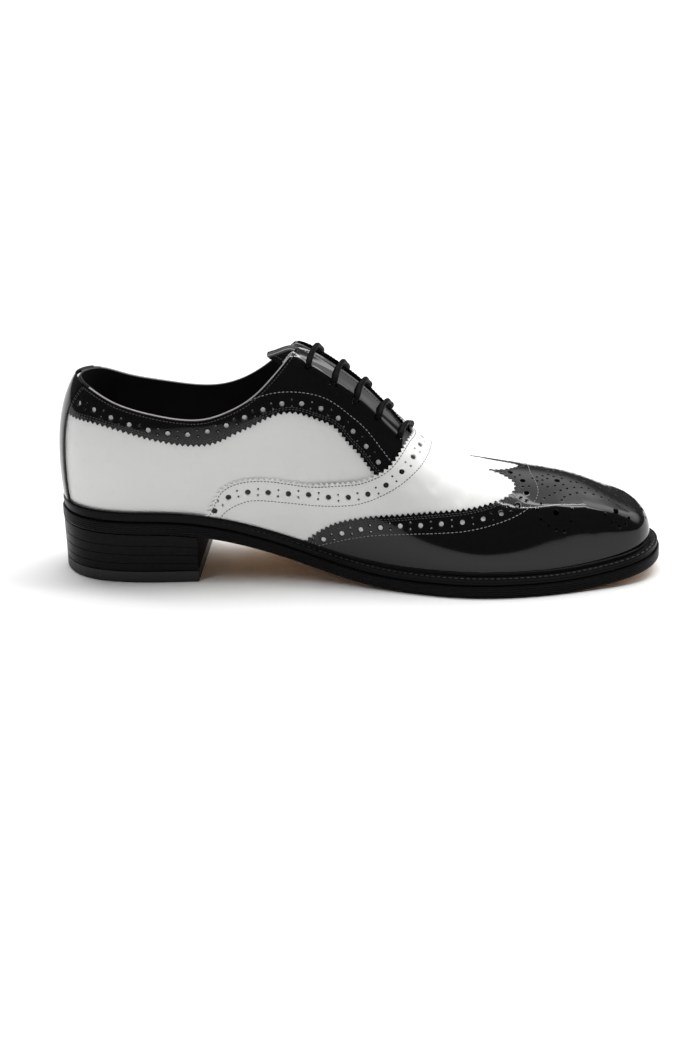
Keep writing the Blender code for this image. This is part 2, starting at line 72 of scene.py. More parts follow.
# ---- Floor and studio light ------------------------------------------
# A plain white floor out to the edge of the view, two long strip lights over the shoe, a
# wide one over the floor behind it, and a dim sky with two soft glows behind the shoe, one
# nearly overhead and one towards the toe.
FLOOR_RADIUS = 8.0
STRIPS = [  # length, breadth, place, power, seen in gloss
    (2.4, 0.04, (0.1, -0.12, 1.5), 9.0, True),
    (2.4, 0.16, (0.1, 0.35, 1.5), 10.0, True),
    (2.8, 2.0, (0.0, 1.9, 1.6), 26.0, False),
]
GLOW_CENTRE, GLOW_SPREAD, GLOW = (0, 0.42, 0.907), (0.6, 0.95), 1.6
SIDE_CENTRE, SIDE_SPREAD, SIDE_GLOW = (0.71, 0.30, 0.64), (0.84, 0.97), 2.3
BEHIND, HAZE = (-0.06, 0.12), 0.10
SMOOTH = {"interpolation_type": "SMOOTHSTEP"}

bpy.context.scene.view_settings.view_transform = "Standard"
floor_bm = bmesh.new()
bmesh.ops.create_circle(floor_bm, cap_ends=True, segments=96, radius=FLOOR_RADIUS)
floor_mesh = bpy.data.meshes.new("floor")
floor_bm.to_mesh(floor_mesh)
floor_bm.free()
floor_finish = bpy.data.materials.new("floor_white")
floor_finish.use_nodes = True
floor_shader = floor_finish.node_tree.nodes["Principled BSDF"]
floor_shader.inputs["Base Color"].default_value = (0.93, 0.93, 0.93, 1)
floor_shader.inputs["Roughness"].default_value = 0.9
floor_shader.inputs["Specular IOR Level"].default_value = 0.1
floor_mesh.materials.append(floor_finish)
floor = bpy.data.objects.new("floor", floor_mesh)
bpy.context.scene.collection.objects.link(floor)

for number, (length, breadth, place, power, in_gloss) in enumerate(STRIPS):
    strip = bpy.data.lights.new(f"strip_{number}", "AREA")
    strip.shape, strip.size, strip.size_y, strip.energy = "RECTANGLE", length, breadth, power
    strip_light = bpy.data.objects.new(f"strip_{number}", strip)
    strip_light.location = place
    aim = Vector((0, 0, 0.05)) if in_gloss else Vector((place[0], place[1], 0))
    strip_light.rotation_euler = (aim - Vector(place)).to_track_quat("-Z", "Y").to_euler()
    strip_light.visible_glossy = in_gloss
    bpy.context.scene.collection.objects.link(strip_light)


class Wire:
    """A socket of a node tree. Arithmetic on it adds Math nodes; node adds any other."""

    def __init__(self, tree, socket=None):
        self.tree, self.socket = tree, socket

    def node(self, kind, settings=None, sockets=None, out=0):
        made = self.tree.nodes.new(kind)
        for key, value in (settings or {}).items():
            setattr(made, key, value)
        for key, value in (sockets or {}).items():
            if isinstance(value, Wire):
                self.tree.links.new(value.socket, made.inputs[key])
            else:
                made.inputs[key].default_value = value
        return Wire(self.tree, made.outputs[out])

    def math(self, operation, *values):
        return self.node("ShaderNodeMath", {"operation": operation}, dict(enumerate(values)))

    def __add__(self, other):
        return self.math("ADD", self, other)

    def __sub__(self, other):
        return self.math("SUBTRACT", self, other)

    def __rsub__(self, other):
        return self.math("SUBTRACT", other, self)

    def __mul__(self, other):
        return self.math("MULTIPLY", self, other)

    __radd__, __rmul__ = __add__, __mul__

    def span(self, low, high, top, settings=None):
        """From nothing to the top value as this value goes from low to high."""
        return self.node("ShaderNodeMapRange", settings, {
            "Value": self, "From Min": low, "From Max": high, "To Min": 0.0, "To Max": top})

    def mixed(self, low, high):
        """Colour between two colours by this value."""
        low, high = ((*colour, 1) if isinstance(colour, tuple) else colour for colour in (low, high))
        return self.node("ShaderNodeMix", {"data_type": "RGBA"}, {0: self, 6: low, 7: high}, 2)


sky = bpy.data.worlds.new("studio")
sky.use_nodes = True
bpy.context.scene.world = sky
sky_wire = Wire(sky.node_tree)
direction = sky_wire.node("ShaderNodeTexCoord", out="Generated")


def lobe(centre, spread, top):
    """Soft round glow in the sky."""
    nearness = sky_wire.node("ShaderNodeVectorMath", {"operation": "DOT_PRODUCT"},
                             {0: direction, 1: centre}, "Value")
    return nearness.span(*spread, top, SMOOTH)


behind = sky_wire.node("ShaderNodeSeparateXYZ", None, {0: direction}, "Y").span(*BEHIND, 1.0, SMOOTH)
glow = (lobe(GLOW_CENTRE, GLOW_SPREAD, GLOW) + lobe(SIDE_CENTRE, SIDE_SPREAD, SIDE_GLOW)) * behind + HAZE
sky.node_tree.links.new(glow.socket, sky.node_tree.nodes["Background"].inputs["Strength"])
sky.node_tree.nodes["Background"].inputs["Color"].default_value = (0.98, 1.0, 0.985, 1)


# ---- Quarters --------------------------------------------------------
# Two white calf quarters, closed up the back of the heel and open at the throat. They are
# cut flat, sewn to the other leather, and pulled over the last, whose surface is set out
# here: sections rise from the sole's edge to a ridge over the foot.
OUTLINE = {
    "station": [0, 2.5, 8, 18, 34, 55, 80, 105, 130, 155, 180, 205, 225, 245, 263, 278, 290, 297.5, 301.5],
    "medial": [0, 10.5, 19.5, 27, 31, 31, 28.5, 26, 26.5, 31.5, 39, 45, 46, 43, 37.5, 31.5, 26, 20, 12.5],
    "lateral": [0, 10.5, 19.5, 27, 31.5, 33, 33, 33, 34.5, 37.5, 41.5, 44, 43.2, 38.7, 32, 25.5, 19.3, 13,
                4.5],
}
TOE_POINT = (302.6, -4.5)
RIDGE = {
    "station": [0, 60, 100, 124, 140, 160, 177, 195, 215, 235, 252, 266, 278, 290],
    "height": [118, 121, 121.6, 118.7, 110, 93.5, 75.5, 63.3, 55.5, 52.2, 50, 47, 41, 33],
}
RIDGE_LINE = {"station": [0, 60, 120, 177, 215, 262, 302], "side": [0, 0, -1, -2, -3, -4.2, -4.5]}
RIDGE_ENDS, RIDGE_BLEND = (40, 258), 9.0
WALL = {
    "station": [0, 20, 60, 100, 140, 177, 215, 250, 278, 302],
    "bulge": [4.3, 3.3, 3.0, 2.5, 2.0, 1.5, 1.0, 0.5, 0.5, 1.5],
    "foot": [38.5, 38.5, 36.5, 38.5, 42, 34, 27, 23, 20, 14],
    "crown": [0.97, 0.97, 1.02, 1.02, 0.68, 0.56, 0.56, 0.66, 0.72, 0.75],
}
HEEL_SEAT, SEAT_SLOPE, SHANK = 26.5, 0.02, (38, 192)
TREAD_END, TOE_SPRING, SOLE_TIP, SPRING_POWER = 248, 6.5, 309, 2.2
OUTSOLE, WELT, GAP = 6.4, 4.3, 0.3
STACK = OUTSOLE + GAP + WELT
COLLAR = {
    "medial": [(0, 104), (12, 101.7), (30, 95.5), (50, 90), (66, 87), (78, 86.8), (90, 90.2), (104, 98.2),
               (117, 111.2), (124, 118.6)],
    "lateral": [(0, 104), (12, 101.8), (30, 95.5), (50, 91), (68, 88.4), (80, 88.8), (92, 92.6), (105, 101.2),
                (118, 113.3), (124, 118.5)],
}
THROAT, THROAT_GAP = (124, 176), (8.0, 5.0)
ORIGIN_STATION, ORIGIN_SIDE = 153.3, -1.0
QUARTER_LIFT, QUARTER_THICK, QUARTER_DROP = -0.5, 1.1, 1.5


def natural_curve(xs, ys):
    """Smooth curve through the rows of a table, straight-ended."""
    xs, ys = np.asarray(xs, float), np.asarray(ys, float)
    h = np.diff(xs)
    system, pull = np.eye(len(xs)), np.zeros(len(xs))
    for i in range(1, len(xs) - 1):
        system[i, i - 1:i + 2] = h[i - 1], 2 * (h[i - 1] + h[i]), h[i]
        pull[i] = 6 * ((ys[i + 1] - ys[i]) / h[i] - (ys[i] - ys[i - 1]) / h[i - 1])
    bend = np.linalg.solve(system, pull)

    def curve(q):
        q = np.asarray(q, float)
        k = np.clip(np.searchsorted(xs, q) - 1, 0, len(xs) - 2)
        left, right, span = q - xs[k], xs[k + 1] - q, h[k]
        cubic = (bend[k] * right ** 3 + bend[k + 1] * left ** 3) / (6 * span)
        return (cubic + (ys[k] / span - bend[k] * span / 6) * right
                + (ys[k + 1] / span - bend[k + 1] * span / 6) * left)

    return curve


def outline_curves():
    """Plan outline by a turn from -1 (toe) by the medial side to 0 (heel) and back to 1 (toe)."""
    station = np.array(OUTLINE["station"] + [TOE_POINT[0]], float)
    medial, lateral = np.array(OUTLINE["medial"], float), np.array(OUTLINE["lateral"], float)
    middle = np.append((medial + lateral) / 2, 0)
    knots = np.concatenate([[0], np.cumsum(np.sqrt(np.hypot(np.diff(station), np.diff(middle))))])
    knots = knots / knots[-1]
    turns = np.concatenate([-knots[::-1], knots[1:]])
    rings = np.concatenate([turns[:-1] - 2, turns[:-1], turns + 2])
    across = np.concatenate([[TOE_POINT[1]], -medial[::-1], lateral[1:], [TOE_POINT[1]]])
    curves = []
    for ys in (np.concatenate([station[::-1], station[1:]]), across):
        curves.append(natural_curve(rings, np.concatenate([ys[:-1], ys[:-1], ys])))
    return curves


OUTLINE_X, OUTLINE_Y = outline_curves()
RIDGE_Z = natural_curve(RIDGE["station"], RIDGE["height"])
RIDGE_Y = natural_curve(RIDGE_LINE["station"], RIDGE_LINE["side"])
WALLS = {key: natural_curve(WALL["station"], WALL[key]) for key in ("bulge", "foot", "crown")}


def sole_height(station):
    """Height of the outsole's tread surface above the floor."""
    station = np.asarray(station, float)
    t = np.clip((SHANK[1] - station) / (SHANK[1] - SHANK[0]), 0, 1)
    arch = HEEL_SEAT * t ** 3 * (t * (6 * t - 15) + 10) + SEAT_SLOPE * np.maximum(0, SHANK[0] - station)
    spring = np.maximum(0, station - TREAD_END) / (SOLE_TIP - TREAD_END)
    return arch + TOE_SPRING * spring ** SPRING_POWER


def ridge_station(station):
    """Station of the ridge point over a station of the outline, held short of heel and toe."""
    low, high = RIDGE_ENDS
    q = low + RIDGE_BLEND * np.logaddexp(0, (station - low) / RIDGE_BLEND)
    return high - RIDGE_BLEND * np.logaddexp(0, (high - q) / RIDGE_BLEND)


def turn_at(station, side):
    """Turn of the outline at a station on one side (-1 medial, 1 lateral)."""
    turns = np.linspace(0, 1, 2001)
    return side * np.interp(station, OUTLINE_X(turns), turns)


def last_points(turn, rise):
    """Points of the last for arrays of turn and rise (0 at the welt, 1 on the ridge)."""
    turn, t = np.asarray(turn, float), 1 - np.asarray(rise, float)
    foot_x, foot_y = OUTLINE_X(turn), OUTLINE_Y(turn)
    foot_z = sole_height(foot_x) + STACK
    top_x = ridge_station(foot_x)
    top_y, top_z = RIDGE_Y(top_x), RIDGE_Z(top_x)
    slope = RIDGE_Z(top_x + 0.5) - RIDGE_Z(top_x - 0.5)
    reach = np.hypot(foot_x - top_x, foot_y - top_y)
    out_x, out_y = (foot_x - top_x) / reach, (foot_y - top_y) / reach
    crown = WALLS["crown"](foot_x) * reach
    b1, b2, b3 = 3 * t * (1 - t) ** 2, 3 * t * t * (1 - t), t ** 3
    r = b1 * crown + b2 * (reach + WALLS["bulge"](foot_x)) + b3 * reach
    z = ((1 - t) ** 3 * top_z + b1 * (top_z + crown * slope * out_x)
         + b2 * (foot_z + WALLS["foot"](foot_x)) + b3 * foot_z)
    return np.stack([top_x + r * out_x, top_y + r * out_y, z], -1)


def unit(rows):
    return rows / np.linalg.norm(rows, axis=-1, keepdims=True)


def run_along(points):
    """Length along a line of points, up to each of them."""
    return np.concatenate([[0], np.cumsum(np.linalg.norm(np.diff(points, axis=0), axis=1))])


# The flat pattern: every section is laid out straight from its ridge point, at its true length.
LAST_SECTION = 1600
SECTIONS, STEPS = np.linspace(-1, 1, LAST_SECTION + 1), np.linspace(0, 1, 257)
section_points = last_points(SECTIONS[:, None], 1 - STEPS[None, :])
SECTION_ARC = np.stack([run_along(points) for points in section_points])
SECTION_LENGTH = SECTION_ARC[:, -1]
SECTION_STEP = np.array([np.interp(STEPS * arc[-1], arc, STEPS) for arc in SECTION_ARC])
SECTION_TOP = section_points[:, 0, :2]
SECTION_OUT = unit(section_points[:, -1, :2] - SECTION_TOP)


def sample(table, column, row):
    """Values of a table between its rows and columns."""
    i = np.clip(column.astype(int), 0, table.shape[0] - 2)
    j = np.clip(row.astype(int), 0, table.shape[1] - 2)
    a, b = column - i, row - j
    return ((1 - a) * ((1 - b) * table[i, j] + b * table[i, j + 1])
            + a * ((1 - b) * table[i + 1, j] + b * table[i + 1, j + 1]))


def column_of(flat):
    """Section through each point of the flat pattern, as a place in SECTIONS."""
    half = LAST_SECTION // 2

    def past(i):
        rel, away = flat - SECTION_TOP[i], SECTION_OUT[i]
        return away[..., 0] * rel[:, 1] - away[..., 1] * rel[:, 0]

    medial = np.select([flat[:, 0] < SECTION_TOP[half, 0], flat[:, 0] > SECTION_TOP[0, 0]],
                       [past(half) > 0, past(0) < 0], flat[:, 1] < RIDGE_Y(flat[:, 0]))
    low = np.where(medial, 0, half)
    high = low + half
    for _ in range(11):
        middle = (low + high) // 2
        ahead = past(middle) > 0
        low, high = np.where(ahead, low, middle), np.where(ahead, middle, high)
    high = np.minimum(low + 1, LAST_SECTION)
    before, after = past(low), past(high)
    return low + np.clip(-before / np.where(after == before, 1, after - before), 0, 1)


def turn_of(column):
    return column / LAST_SECTION * 2 - 1


def section_at(column):
    """Ridge point of each section in plan, and the section's direction away from it."""
    i = np.clip(column.astype(int), 0, LAST_SECTION - 1)
    a = (column - i)[:, None]
    return [table[i] * (1 - a) + table[i + 1] * a for table in (SECTION_TOP, SECTION_OUT)]


def to_flat(turn, rise):
    """Flat pattern points of places on the last."""
    turn, rise = np.broadcast_arrays(np.atleast_1d(np.asarray(turn, float)), rise)
    column = (turn + 1) / 2 * LAST_SECTION
    length = sample(SECTION_ARC, column, (1 - rise) * (len(STEPS) - 1))
    top, away = section_at(column)
    return top + away * length[:, None]


def surface(flat):
    """Last points under the points of the flat pattern; past the welt they go straight down."""
    column = column_of(flat)
    top, away = section_at(column)
    length = np.interp(column, np.arange(len(SECTIONS)), SECTION_LENGTH)
    run = np.sum((flat - top) * away, 1)
    step = sample(SECTION_STEP, column, np.clip(run / length, 0, 1) * (len(STEPS) - 1))
    points = last_points(turn_of(column), 1 - step)
    points[:, 2] -= np.maximum(0, run - length)
    return points


def frames(flat, height=0.0):
    """Points, the two tangents of the pattern, and outward normals at a height over the last."""
    reach = 0.05

    def slopes(value):
        return [(value(flat + step) - value(flat - step)) / (2 * reach) for step in reach * np.eye(2)]

    points, (along, across) = surface(flat), slopes(surface)
    normal = unit(np.cross(along, across))
    if not callable(height):
        return points + normal * height, along, across, normal
    along, across = (tangent + normal * slope[:, None]
                     for tangent, slope in zip((along, across), slopes(height)))
    return points + normal * height(flat)[:, None], along, across, unit(np.cross(along, across))


def products(along, across):
    """Dot products of the tangents: first with first, first with second, second with second."""
    return [np.sum(a * b, 1) for a, b in ((along, along), (along, across), (across, across))]


def metric(flat):
    """How the pattern stretches when it is pulled over the last."""
    _, along, across, _ = frames(flat)
    e, f, g = products(along, across)
    return np.stack([np.stack([e, f], -1), np.stack([f, g], -1)], 1)


def run_of(line):
    """True length along a line of the pattern."""
    return run_along(surface(line))


def to_world(points):
    """Station, side and height in millimetres to metres about the origin."""
    return (np.asarray(points) - [ORIGIN_STATION, ORIGIN_SIDE, 0]) * MM


def inside(points, loop):
    """True for the points inside a closed loop."""
    hit = np.zeros(len(points), bool)
    for a, b in zip(loop, np.roll(loop, -1, 0)):
        if a[1] != b[1]:
            crossed = (points[:, 1] < a[1]) != (points[:, 1] < b[1])
            at_height = a[0] + (points[:, 1] - a[1]) / (b[1] - a[1]) * (b[0] - a[0])
            hit ^= crossed & (points[:, 0] < at_height)
    return hit


def ring(centre, radius, sides):
    """Circle of the finished leather, as a loop on the pattern."""
    values, vectors = np.linalg.eigh(metric(centre[None])[0])
    shrink = vectors @ np.diag(values ** -0.5) @ vectors.T
    angles = np.arange(sides) / sides * 2 * math.pi
    return centre + radius * np.stack([np.cos(angles), np.sin(angles)], -1) @ shrink.T


def new_piece(name, mesh, finishes, nodes=()):
    """Links a finished mesh as a piece that rides on the shoe."""
    mesh.name = name
    for finish in finishes:
        mesh.materials.append(finish)
    piece = bpy.data.objects.new(name, mesh)
    bpy.context.scene.collection.objects.link(piece)
    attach(piece, "root")
    if nodes:
        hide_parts(*nodes)
    return piece


def pull_over_last(mesh, height):
    """Carries a flat mesh and its corner normals over the last, at a height above it."""
    flat, corners = np.empty(len(mesh.vertices) * 3), np.empty(len(mesh.loops) * 3)
    owner = np.empty(len(mesh.loops), int)
    mesh.vertices.foreach_get("co", flat)
    mesh.corner_normals.foreach_get("vector", corners)
    mesh.loops.foreach_get("vertex_index", owner)
    flat, corners = flat.reshape(-1, 3), corners.reshape(-1, 3)
    points, along, across, normal = frames(flat[:, :2], height)
    points = points + normal * flat[:, 2:]
    e, f, g = (product[:, None] for product in products(along, across))
    det = e * g - f * f
    left, right = (along * g - across * f) / det, (across * e - along * f) / det
    turned = corners[:, :1] * left[owner] + corners[:, 1:2] * right[owner] + corners[:, 2:] * normal[owner]
    mesh.vertices.foreach_set("co", to_world(points).ravel())
    mesh.normals_split_custom_set(unit(turned))
    mesh.update()


def smooth_mesh(bm, sharp=None):
    """Mesh of a bmesh, faces outward and shaded smooth, with sharp edges past an angle."""
    bmesh.ops.recalc_face_normals(bm, faces=bm.faces)
    mesh = bpy.data.meshes.new("piece")
    bm.to_mesh(mesh)
    bm.free()
    mesh.shade_smooth()
    if sharp:
        mesh.set_sharp_from_angle(angle=math.radians(sharp))
    return mesh


EDGE_DROP = 0.12
HOLE_RINGS = ((0, -0.22), (0.2, 0.05), (0.5, 0.0), (0.85, 0.0))  # step out from the hole, height


def cut_leather(outline, height, thick, holes=(), openings=(), pitch=2.2):
    """A panel cut flat with its holes, given its thickness, and pulled over the last."""
    loops = [(loop, -EDGE_DROP, 0) for loop in (outline, *openings)]  # points, height, hole's number
    for number, (centre, radius, sides) in enumerate(holes, 1):
        loops += [(ring(centre, radius + grow, sides), z, 0 if grow else number) for grow, z in HOLE_RINGS]
    edges, start = [], 0
    for loop, _, _ in loops:
        edges += [(start + i, start + (i + 1) % len(loop)) for i in range(len(loop))]
        start += len(loop)
    tree = KDTree(start)
    for i, (x, y) in enumerate(np.concatenate([loop for loop, _, _ in loops])):
        tree.insert((x, y, 0), i)
    tree.balance()
    low, high = outline.min(0), outline.max(0)
    filling = np.array([(x, y) for k, y in enumerate(np.arange(low[1], high[1], pitch * 0.87))
                        for x in np.arange(low[0] + k % 2 * pitch / 2, high[0], pitch)])
    filling = filling[inside(filling, outline)]
    loops.append(([p for p in filling if tree.find((*p, 0))[2] > 0.55 * pitch], 0.0, 0))
    every = np.concatenate([loop for loop, _, _ in loops])
    z, owner = (np.repeat([row[k] for row in loops], [len(row[0]) for row in loops]) for k in (1, 2))
    verts, _, faces, sources, _, _ = delaunay_2d_cdt([Vector(p) for p in every], edges, [], 1, 1e-4)
    first = np.array([s[0] if s else -1 for s in sources])
    verts, faces = np.array([tuple(v) for v in verts]), np.array(faces)
    z, owner = (np.where(first >= 0, values[first], 0) for values in (z, owner))
    middle, own = verts[faces].mean(1), owner[faces]
    keep = inside(middle, outline) & ~((own[:, 0] > 0) & (own == own[:, :1]).all(1))
    for loop in openings:
        keep &= ~inside(middle, loop)
    bm = bmesh.new()
    corners = [bm.verts.new((x, y, h)) for (x, y), h in zip(verts, z)]
    for face in faces[keep]:
        bm.faces.new([corners[i] for i in face])
    bmesh.ops.delete(bm, geom=[v for v in bm.verts if not v.link_faces], context="VERTS")
    under = bmesh.ops.extrude_face_region(bm, geom=bm.faces[:], use_keep_orig=True)
    for v in under["geom"]:
        if isinstance(v, bmesh.types.BMVert):
            v.co.z = -thick
    mesh = smooth_mesh(bm, 50)
    pull_over_last(mesh, height)
    return mesh


def foot_line(start, end, skirt=0.0, count=240):
    """Pattern line along the welt from one turn to another."""
    turns = np.linspace(start, end, count)
    return to_flat(turns, 0 * turns) + section_at((turns + 1) / 2 * LAST_SECTION)[1] * skirt


def rise_where(turn, measure, value):
    """Highest rise on each section at which a falling measure of its points reaches a value."""
    steps = np.linspace(1, 0, 401)
    found = []
    for one_turn, one_value in zip(turn, value):
        points = last_points(np.full(steps.shape, one_turn), steps)
        found.append(np.interp(-one_value, -measure(points), steps))
    return np.array(found)


def height_of(points):
    return points[:, 2]


def nearness_of(points):
    return -np.hypot(points[:, 0] - points[0, 0], points[:, 1] - points[0, 1])


def top_line(side, start=0.0, lower=0.0, apart=0.0):
    """Collar from the heel to the throat's corner, then down the throat, as a pattern line.

    The collar can be lower and the throat's edges further apart.
    """
    station = np.concatenate([np.linspace(start, 20, 40), np.linspace(20.5, THROAT[0], 150)])
    turns = turn_at(station, side)
    name = "medial" if side < 0 else "lateral"
    height = natural_curve(*np.transpose(COLLAR[name]))(station) - lower
    gap = np.interp(station, THROAT, THROAT_GAP) / 2 + apart
    rises = np.minimum(rise_where(turns, height_of, height), rise_where(turns, nearness_of, -gap))
    collar = to_flat(turns, rises)
    station = np.linspace(THROAT[0], THROAT[1] + 1, 80)
    turns = turn_at(station, side)
    gap = np.interp(station, THROAT, THROAT_GAP) / 2 + apart
    throat = to_flat(turns, rise_where(turns, nearness_of, -gap))
    line = np.concatenate([collar, throat[1:]])
    corner = np.argmin(np.linalg.norm(line - collar[-1], axis=1))
    run = run_of(line)
    low, high = (np.searchsorted(run, run[corner] + d) for d in (-5.0, 5.0))
    t = np.linspace(0, 1, 24)[:, None]
    bend = (1 - t) ** 2 * line[low] + 2 * t * (1 - t) * line[corner] + t * t * line[high]
    return np.concatenate([line[:low], bend, line[high + 1:]])


def finish(name, build, **constants):
    """Principled material: constants on its sockets, then what varies from build(wire, place)."""
    material = bpy.data.materials.new(name)
    material.use_nodes = True
    tree = material.node_tree
    shader = tree.nodes["Principled BSDF"]
    for key, value in constants.items():
        shader.inputs[key.replace("_", " ")].default_value = value
    wire = Wire(tree)
    place = wire.node("ShaderNodeTexCoord", out="Object")
    for key, value in build(wire, place).items():
        tree.links.new(value.socket, shader.inputs[key])
    return material


def noise(wire, place, per_mm, detail=2.0, rough=0.5, warp=0.0):
    """Cloudy pattern with so many waves to a millimetre."""
    return wire.node("ShaderNodeTexNoise", sockets={
        "Vector": place, "Scale": per_mm * 1000, "Detail": detail, "Roughness": rough, "Distortion": warp})


def cells(wire, place, per_mm):
    """Cells like the grain of leather."""
    return wire.node("ShaderNodeTexVoronoi", {"feature": "DISTANCE_TO_EDGE"},
                     {"Vector": place, "Scale": per_mm * 1000})


def bump(wire, height, depth, strength=1.0, normal=None):
    """Normal from a height between 0 and 1 that stands for a depth in millimetres."""
    sockets = {"Strength": strength, "Distance": depth * MM, "Height": height}
    if normal:
        sockets["Normal"] = normal
    return wire.node("ShaderNodeBump", sockets=sockets)


def white_calf(wire, place):
    """Smooth white calf: fine pores, faint handling marks and a slight warm cloud."""
    grain = cells(wire, place, 1.6)
    pores = noise(wire, place, 2.2, 3.0)
    cloud = noise(wire, place, 0.035, 3.0)
    rub = noise(wire, place, 0.22, 4.0, 0.6, 0.6)
    fine = bump(wire, grain, 0.05, 0.35)
    soft = bump(wire, pores, 0.04, 0.5, fine)
    colour = cloud.mixed((0.80, 0.80, 0.785), (0.86, 0.86, 0.85))
    return {"Base Color": rub.span(0.55, 0.8, 0.35).mixed(colour, (0.74, 0.735, 0.715)),
            "Roughness": 0.34 + 0.16 * rub, "Normal": bump(wire, rub, 0.10, 0.6, soft)}


white_leather = finish("white_calf", white_calf, Specular_IOR_Level=0.45, Coat_Weight=0.10,
                       Coat_Roughness=0.3)

quarter_end = abs(turn_at(THROAT[1], 1))
quarter_outline = np.concatenate([
    foot_line(-quarter_end, quarter_end, 1.5, 500),
    top_line(1, 0, QUARTER_DROP, 1.4)[::-1], top_line(-1, 0, QUARTER_DROP, 1.4)[1:],
])
new_piece("quarters", cut_leather(quarter_outline, QUARTER_LIFT, QUARTER_THICK), [white_leather],
          ["upper"])


# ---- Lining ----------------------------------------------------------
# Black calf lining, glued inside the quarters and vamp and trimmed level with the topline.
LINING_LIFT, LINING_THICK = -1.6, 0.8


def black_lining(wire, place):
    """Black calf: a fine grain, with a slight cloud of wear."""
    grain = cells(wire, place, 1.3)
    worn = noise(wire, place, 0.06, 3.0)
    return {"Base Color": worn.mixed((0.010, 0.010, 0.011), (0.030, 0.029, 0.029)),
            "Roughness": 0.46 + 0.2 * worn, "Normal": bump(wire, grain, 0.06, 0.6)}


lining_leather = finish("black_lining", black_lining, Specular_IOR_Level=0.4)
top_opening = np.concatenate([top_line(1, 0, -0.35, 1.5)[::-1], top_line(-1, 0, -0.35, 1.5)[1:]])
lining_outline = foot_line(-1, 1, 1.6, 700)[:-1]
new_piece("lining", cut_leather(lining_outline, LINING_LIFT, LINING_THICK, (), [top_opening], 3.0),
          [lining_leather], ["upper"])


# ---- Facings ---------------------------------------------------------
# Black patent facing and collar in one strip on each side: pinked along its lower edge,
# broguing between rows of stitches, five lace holes, a raw edge of grey leather at the
# topline. Stitched to the quarter.
FACING_LIFT, FACING_THICK = 0.4, 1.1
FACING_EDGE = [(1.5, .425), (8, .42), (20, .41), (40, .37), (56.7, .335), (69.8, .325), (83.1, .345),
               (91.6, .385), (102.1, .435), (112, .485), (121.8, .515), (136.3, .525), (143.5, .525),
               (150, .49), (155.9, .465), (163, .42), (170, .44)]
COLLAR_HOLES = [(8, .50), (21.8, .475), (36, .43), (52.3, .39), (61.2, .38), (70.5, .38), (79.8, .40),
                (88.3, .43), (98.2, .475), (107.4, .515), (117.9, .555), (127.1, .575), (136.3, .59),
                (144.8, .59), (152.6, .57), (159.1, .54), (167.6, .49)]
COLLAR_STITCH = [(95.0, .523), (99.0, .545), (108.7, .585), (123.1, .62), (131.7, .64), (140.9, .655),
                 (150, .645), (159.1, .63), (167, .59), (173.5, .55)]
EDGE_ROWS, TOP_ROW = (2.3, 3.3), 1.4
RIM_RADIUS, RIM_START, RIM_DROP, RIM_APART, RIM_PAST_TOP = 0.55, 13.0, {-1: 0.15, 1: 0.6}, 0.4, 9
LACE_HOLES = [(131.9, 10.7), (144.7, 11.6), (155.7, 12.4), (166.6, 12.2), (177.4, 12.6)]
LACE_SLANT, LACE_HOLE = 2.4, 1.75
BEND_RISE, BEND_WIDTH, BEND_PLACE = 1.6, 4.2, 13.5
ROOF_RISE, ROOF_WIDTH, ROOF_ENDS, ROOF_FADE = 1.9, 7.5, (106, 186), 16
FACING_FOLDS = [([(138, -26), (141, -17)], 0.22, 1.5), ([(148, -24), (152, -16.5)], 0.18, 1.4),
                ([(120, -33), (127, -24)], 0.2, 1.8), ([(161, -22), (164, -16)], 0.16, 1.3),
                ([(138, 24), (141, 15)], 0.2, 1.5), ([(151, 23), (154, 14)], 0.18, 1.4)]
BROGUE_PITCH, BIG_HOLE, SMALL_HOLE, PAIR_HALF, CLOSER = 10.1, 1.28, 0.52, 1.65, 1.1
TOOTH, TOOTH_DEPTH = 2.8, 1.35


def at_run(places, run, line):
    """Points of a line at lengths along it."""
    return np.stack([np.interp(places, run, column) for column in line.T], -1)


def spline(points, step=0.5):
    """Dense smooth line through points of the pattern."""
    points = np.asarray(points, float)
    knots = run_along(points)
    fine = np.linspace(0, knots[-1], max(3, int(knots[-1] / step)))
    return np.stack([natural_curve(knots, column)(fine) for column in points.T], -1)


def walk(line, places):
    """Points at true lengths along a line, with unit tangent and sideways steps of the pattern."""
    run = run_of(line)
    at, ahead, behind = (at_run(places + step, run, line) for step in (0, 0.4, -0.4))
    stretch = metric(at)

    def true_unit(step):
        return step / np.sqrt(np.einsum("ni,nij,nj->n", step, stretch, step))[:, None]

    tangent = true_unit(ahead - behind)
    square = np.stack([-tangent[:, 1], tangent[:, 0]], -1)[..., None]
    return at, tangent, true_unit(np.linalg.solve(stretch, square)[..., 0])


def aside(line, distance, step=0.5):
    """The line moved sideways by a true distance, to its left where that is positive."""
    run = run_of(line)[-1]
    at, _, sideways = walk(line, np.linspace(0, run, max(3, int(run / step))))
    return at + sideways * distance


def distance_to(flat, line):
    """Distance of points of the pattern from a line of few segments."""
    best = np.full(len(flat), 1e9)
    for a, b in zip(line[:-1], line[1:]):
        t = np.clip(np.sum((flat - a) * (b - a), 1) / max(1e-9, np.sum((b - a) ** 2)), 0, 1)
        best = np.minimum(best, np.linalg.norm(flat - a - t[:, None] * (b - a), axis=1))
    return best


def soft_step(q):
    q = np.clip(q, 0, 1)
    return q * q * (3 - 2 * q)


def creases(flat, folds):
    """Soft troughs with a low swell beside them, from lines with a depth and a width."""
    height = np.zeros(len(flat))
    for line, depth, width in folds:
        off = distance_to(flat, np.array(line, float)) / width
        height += depth * (0.35 * np.exp(-(off - 2) ** 2) - np.exp(-off ** 2))
    return height


def on_line(rows, side):
    """Pattern points of a table of stations and rises on one side."""
    rows = np.array(rows, float)
    return to_flat(turn_at(rows[:, 0], side), rows[:, 1])


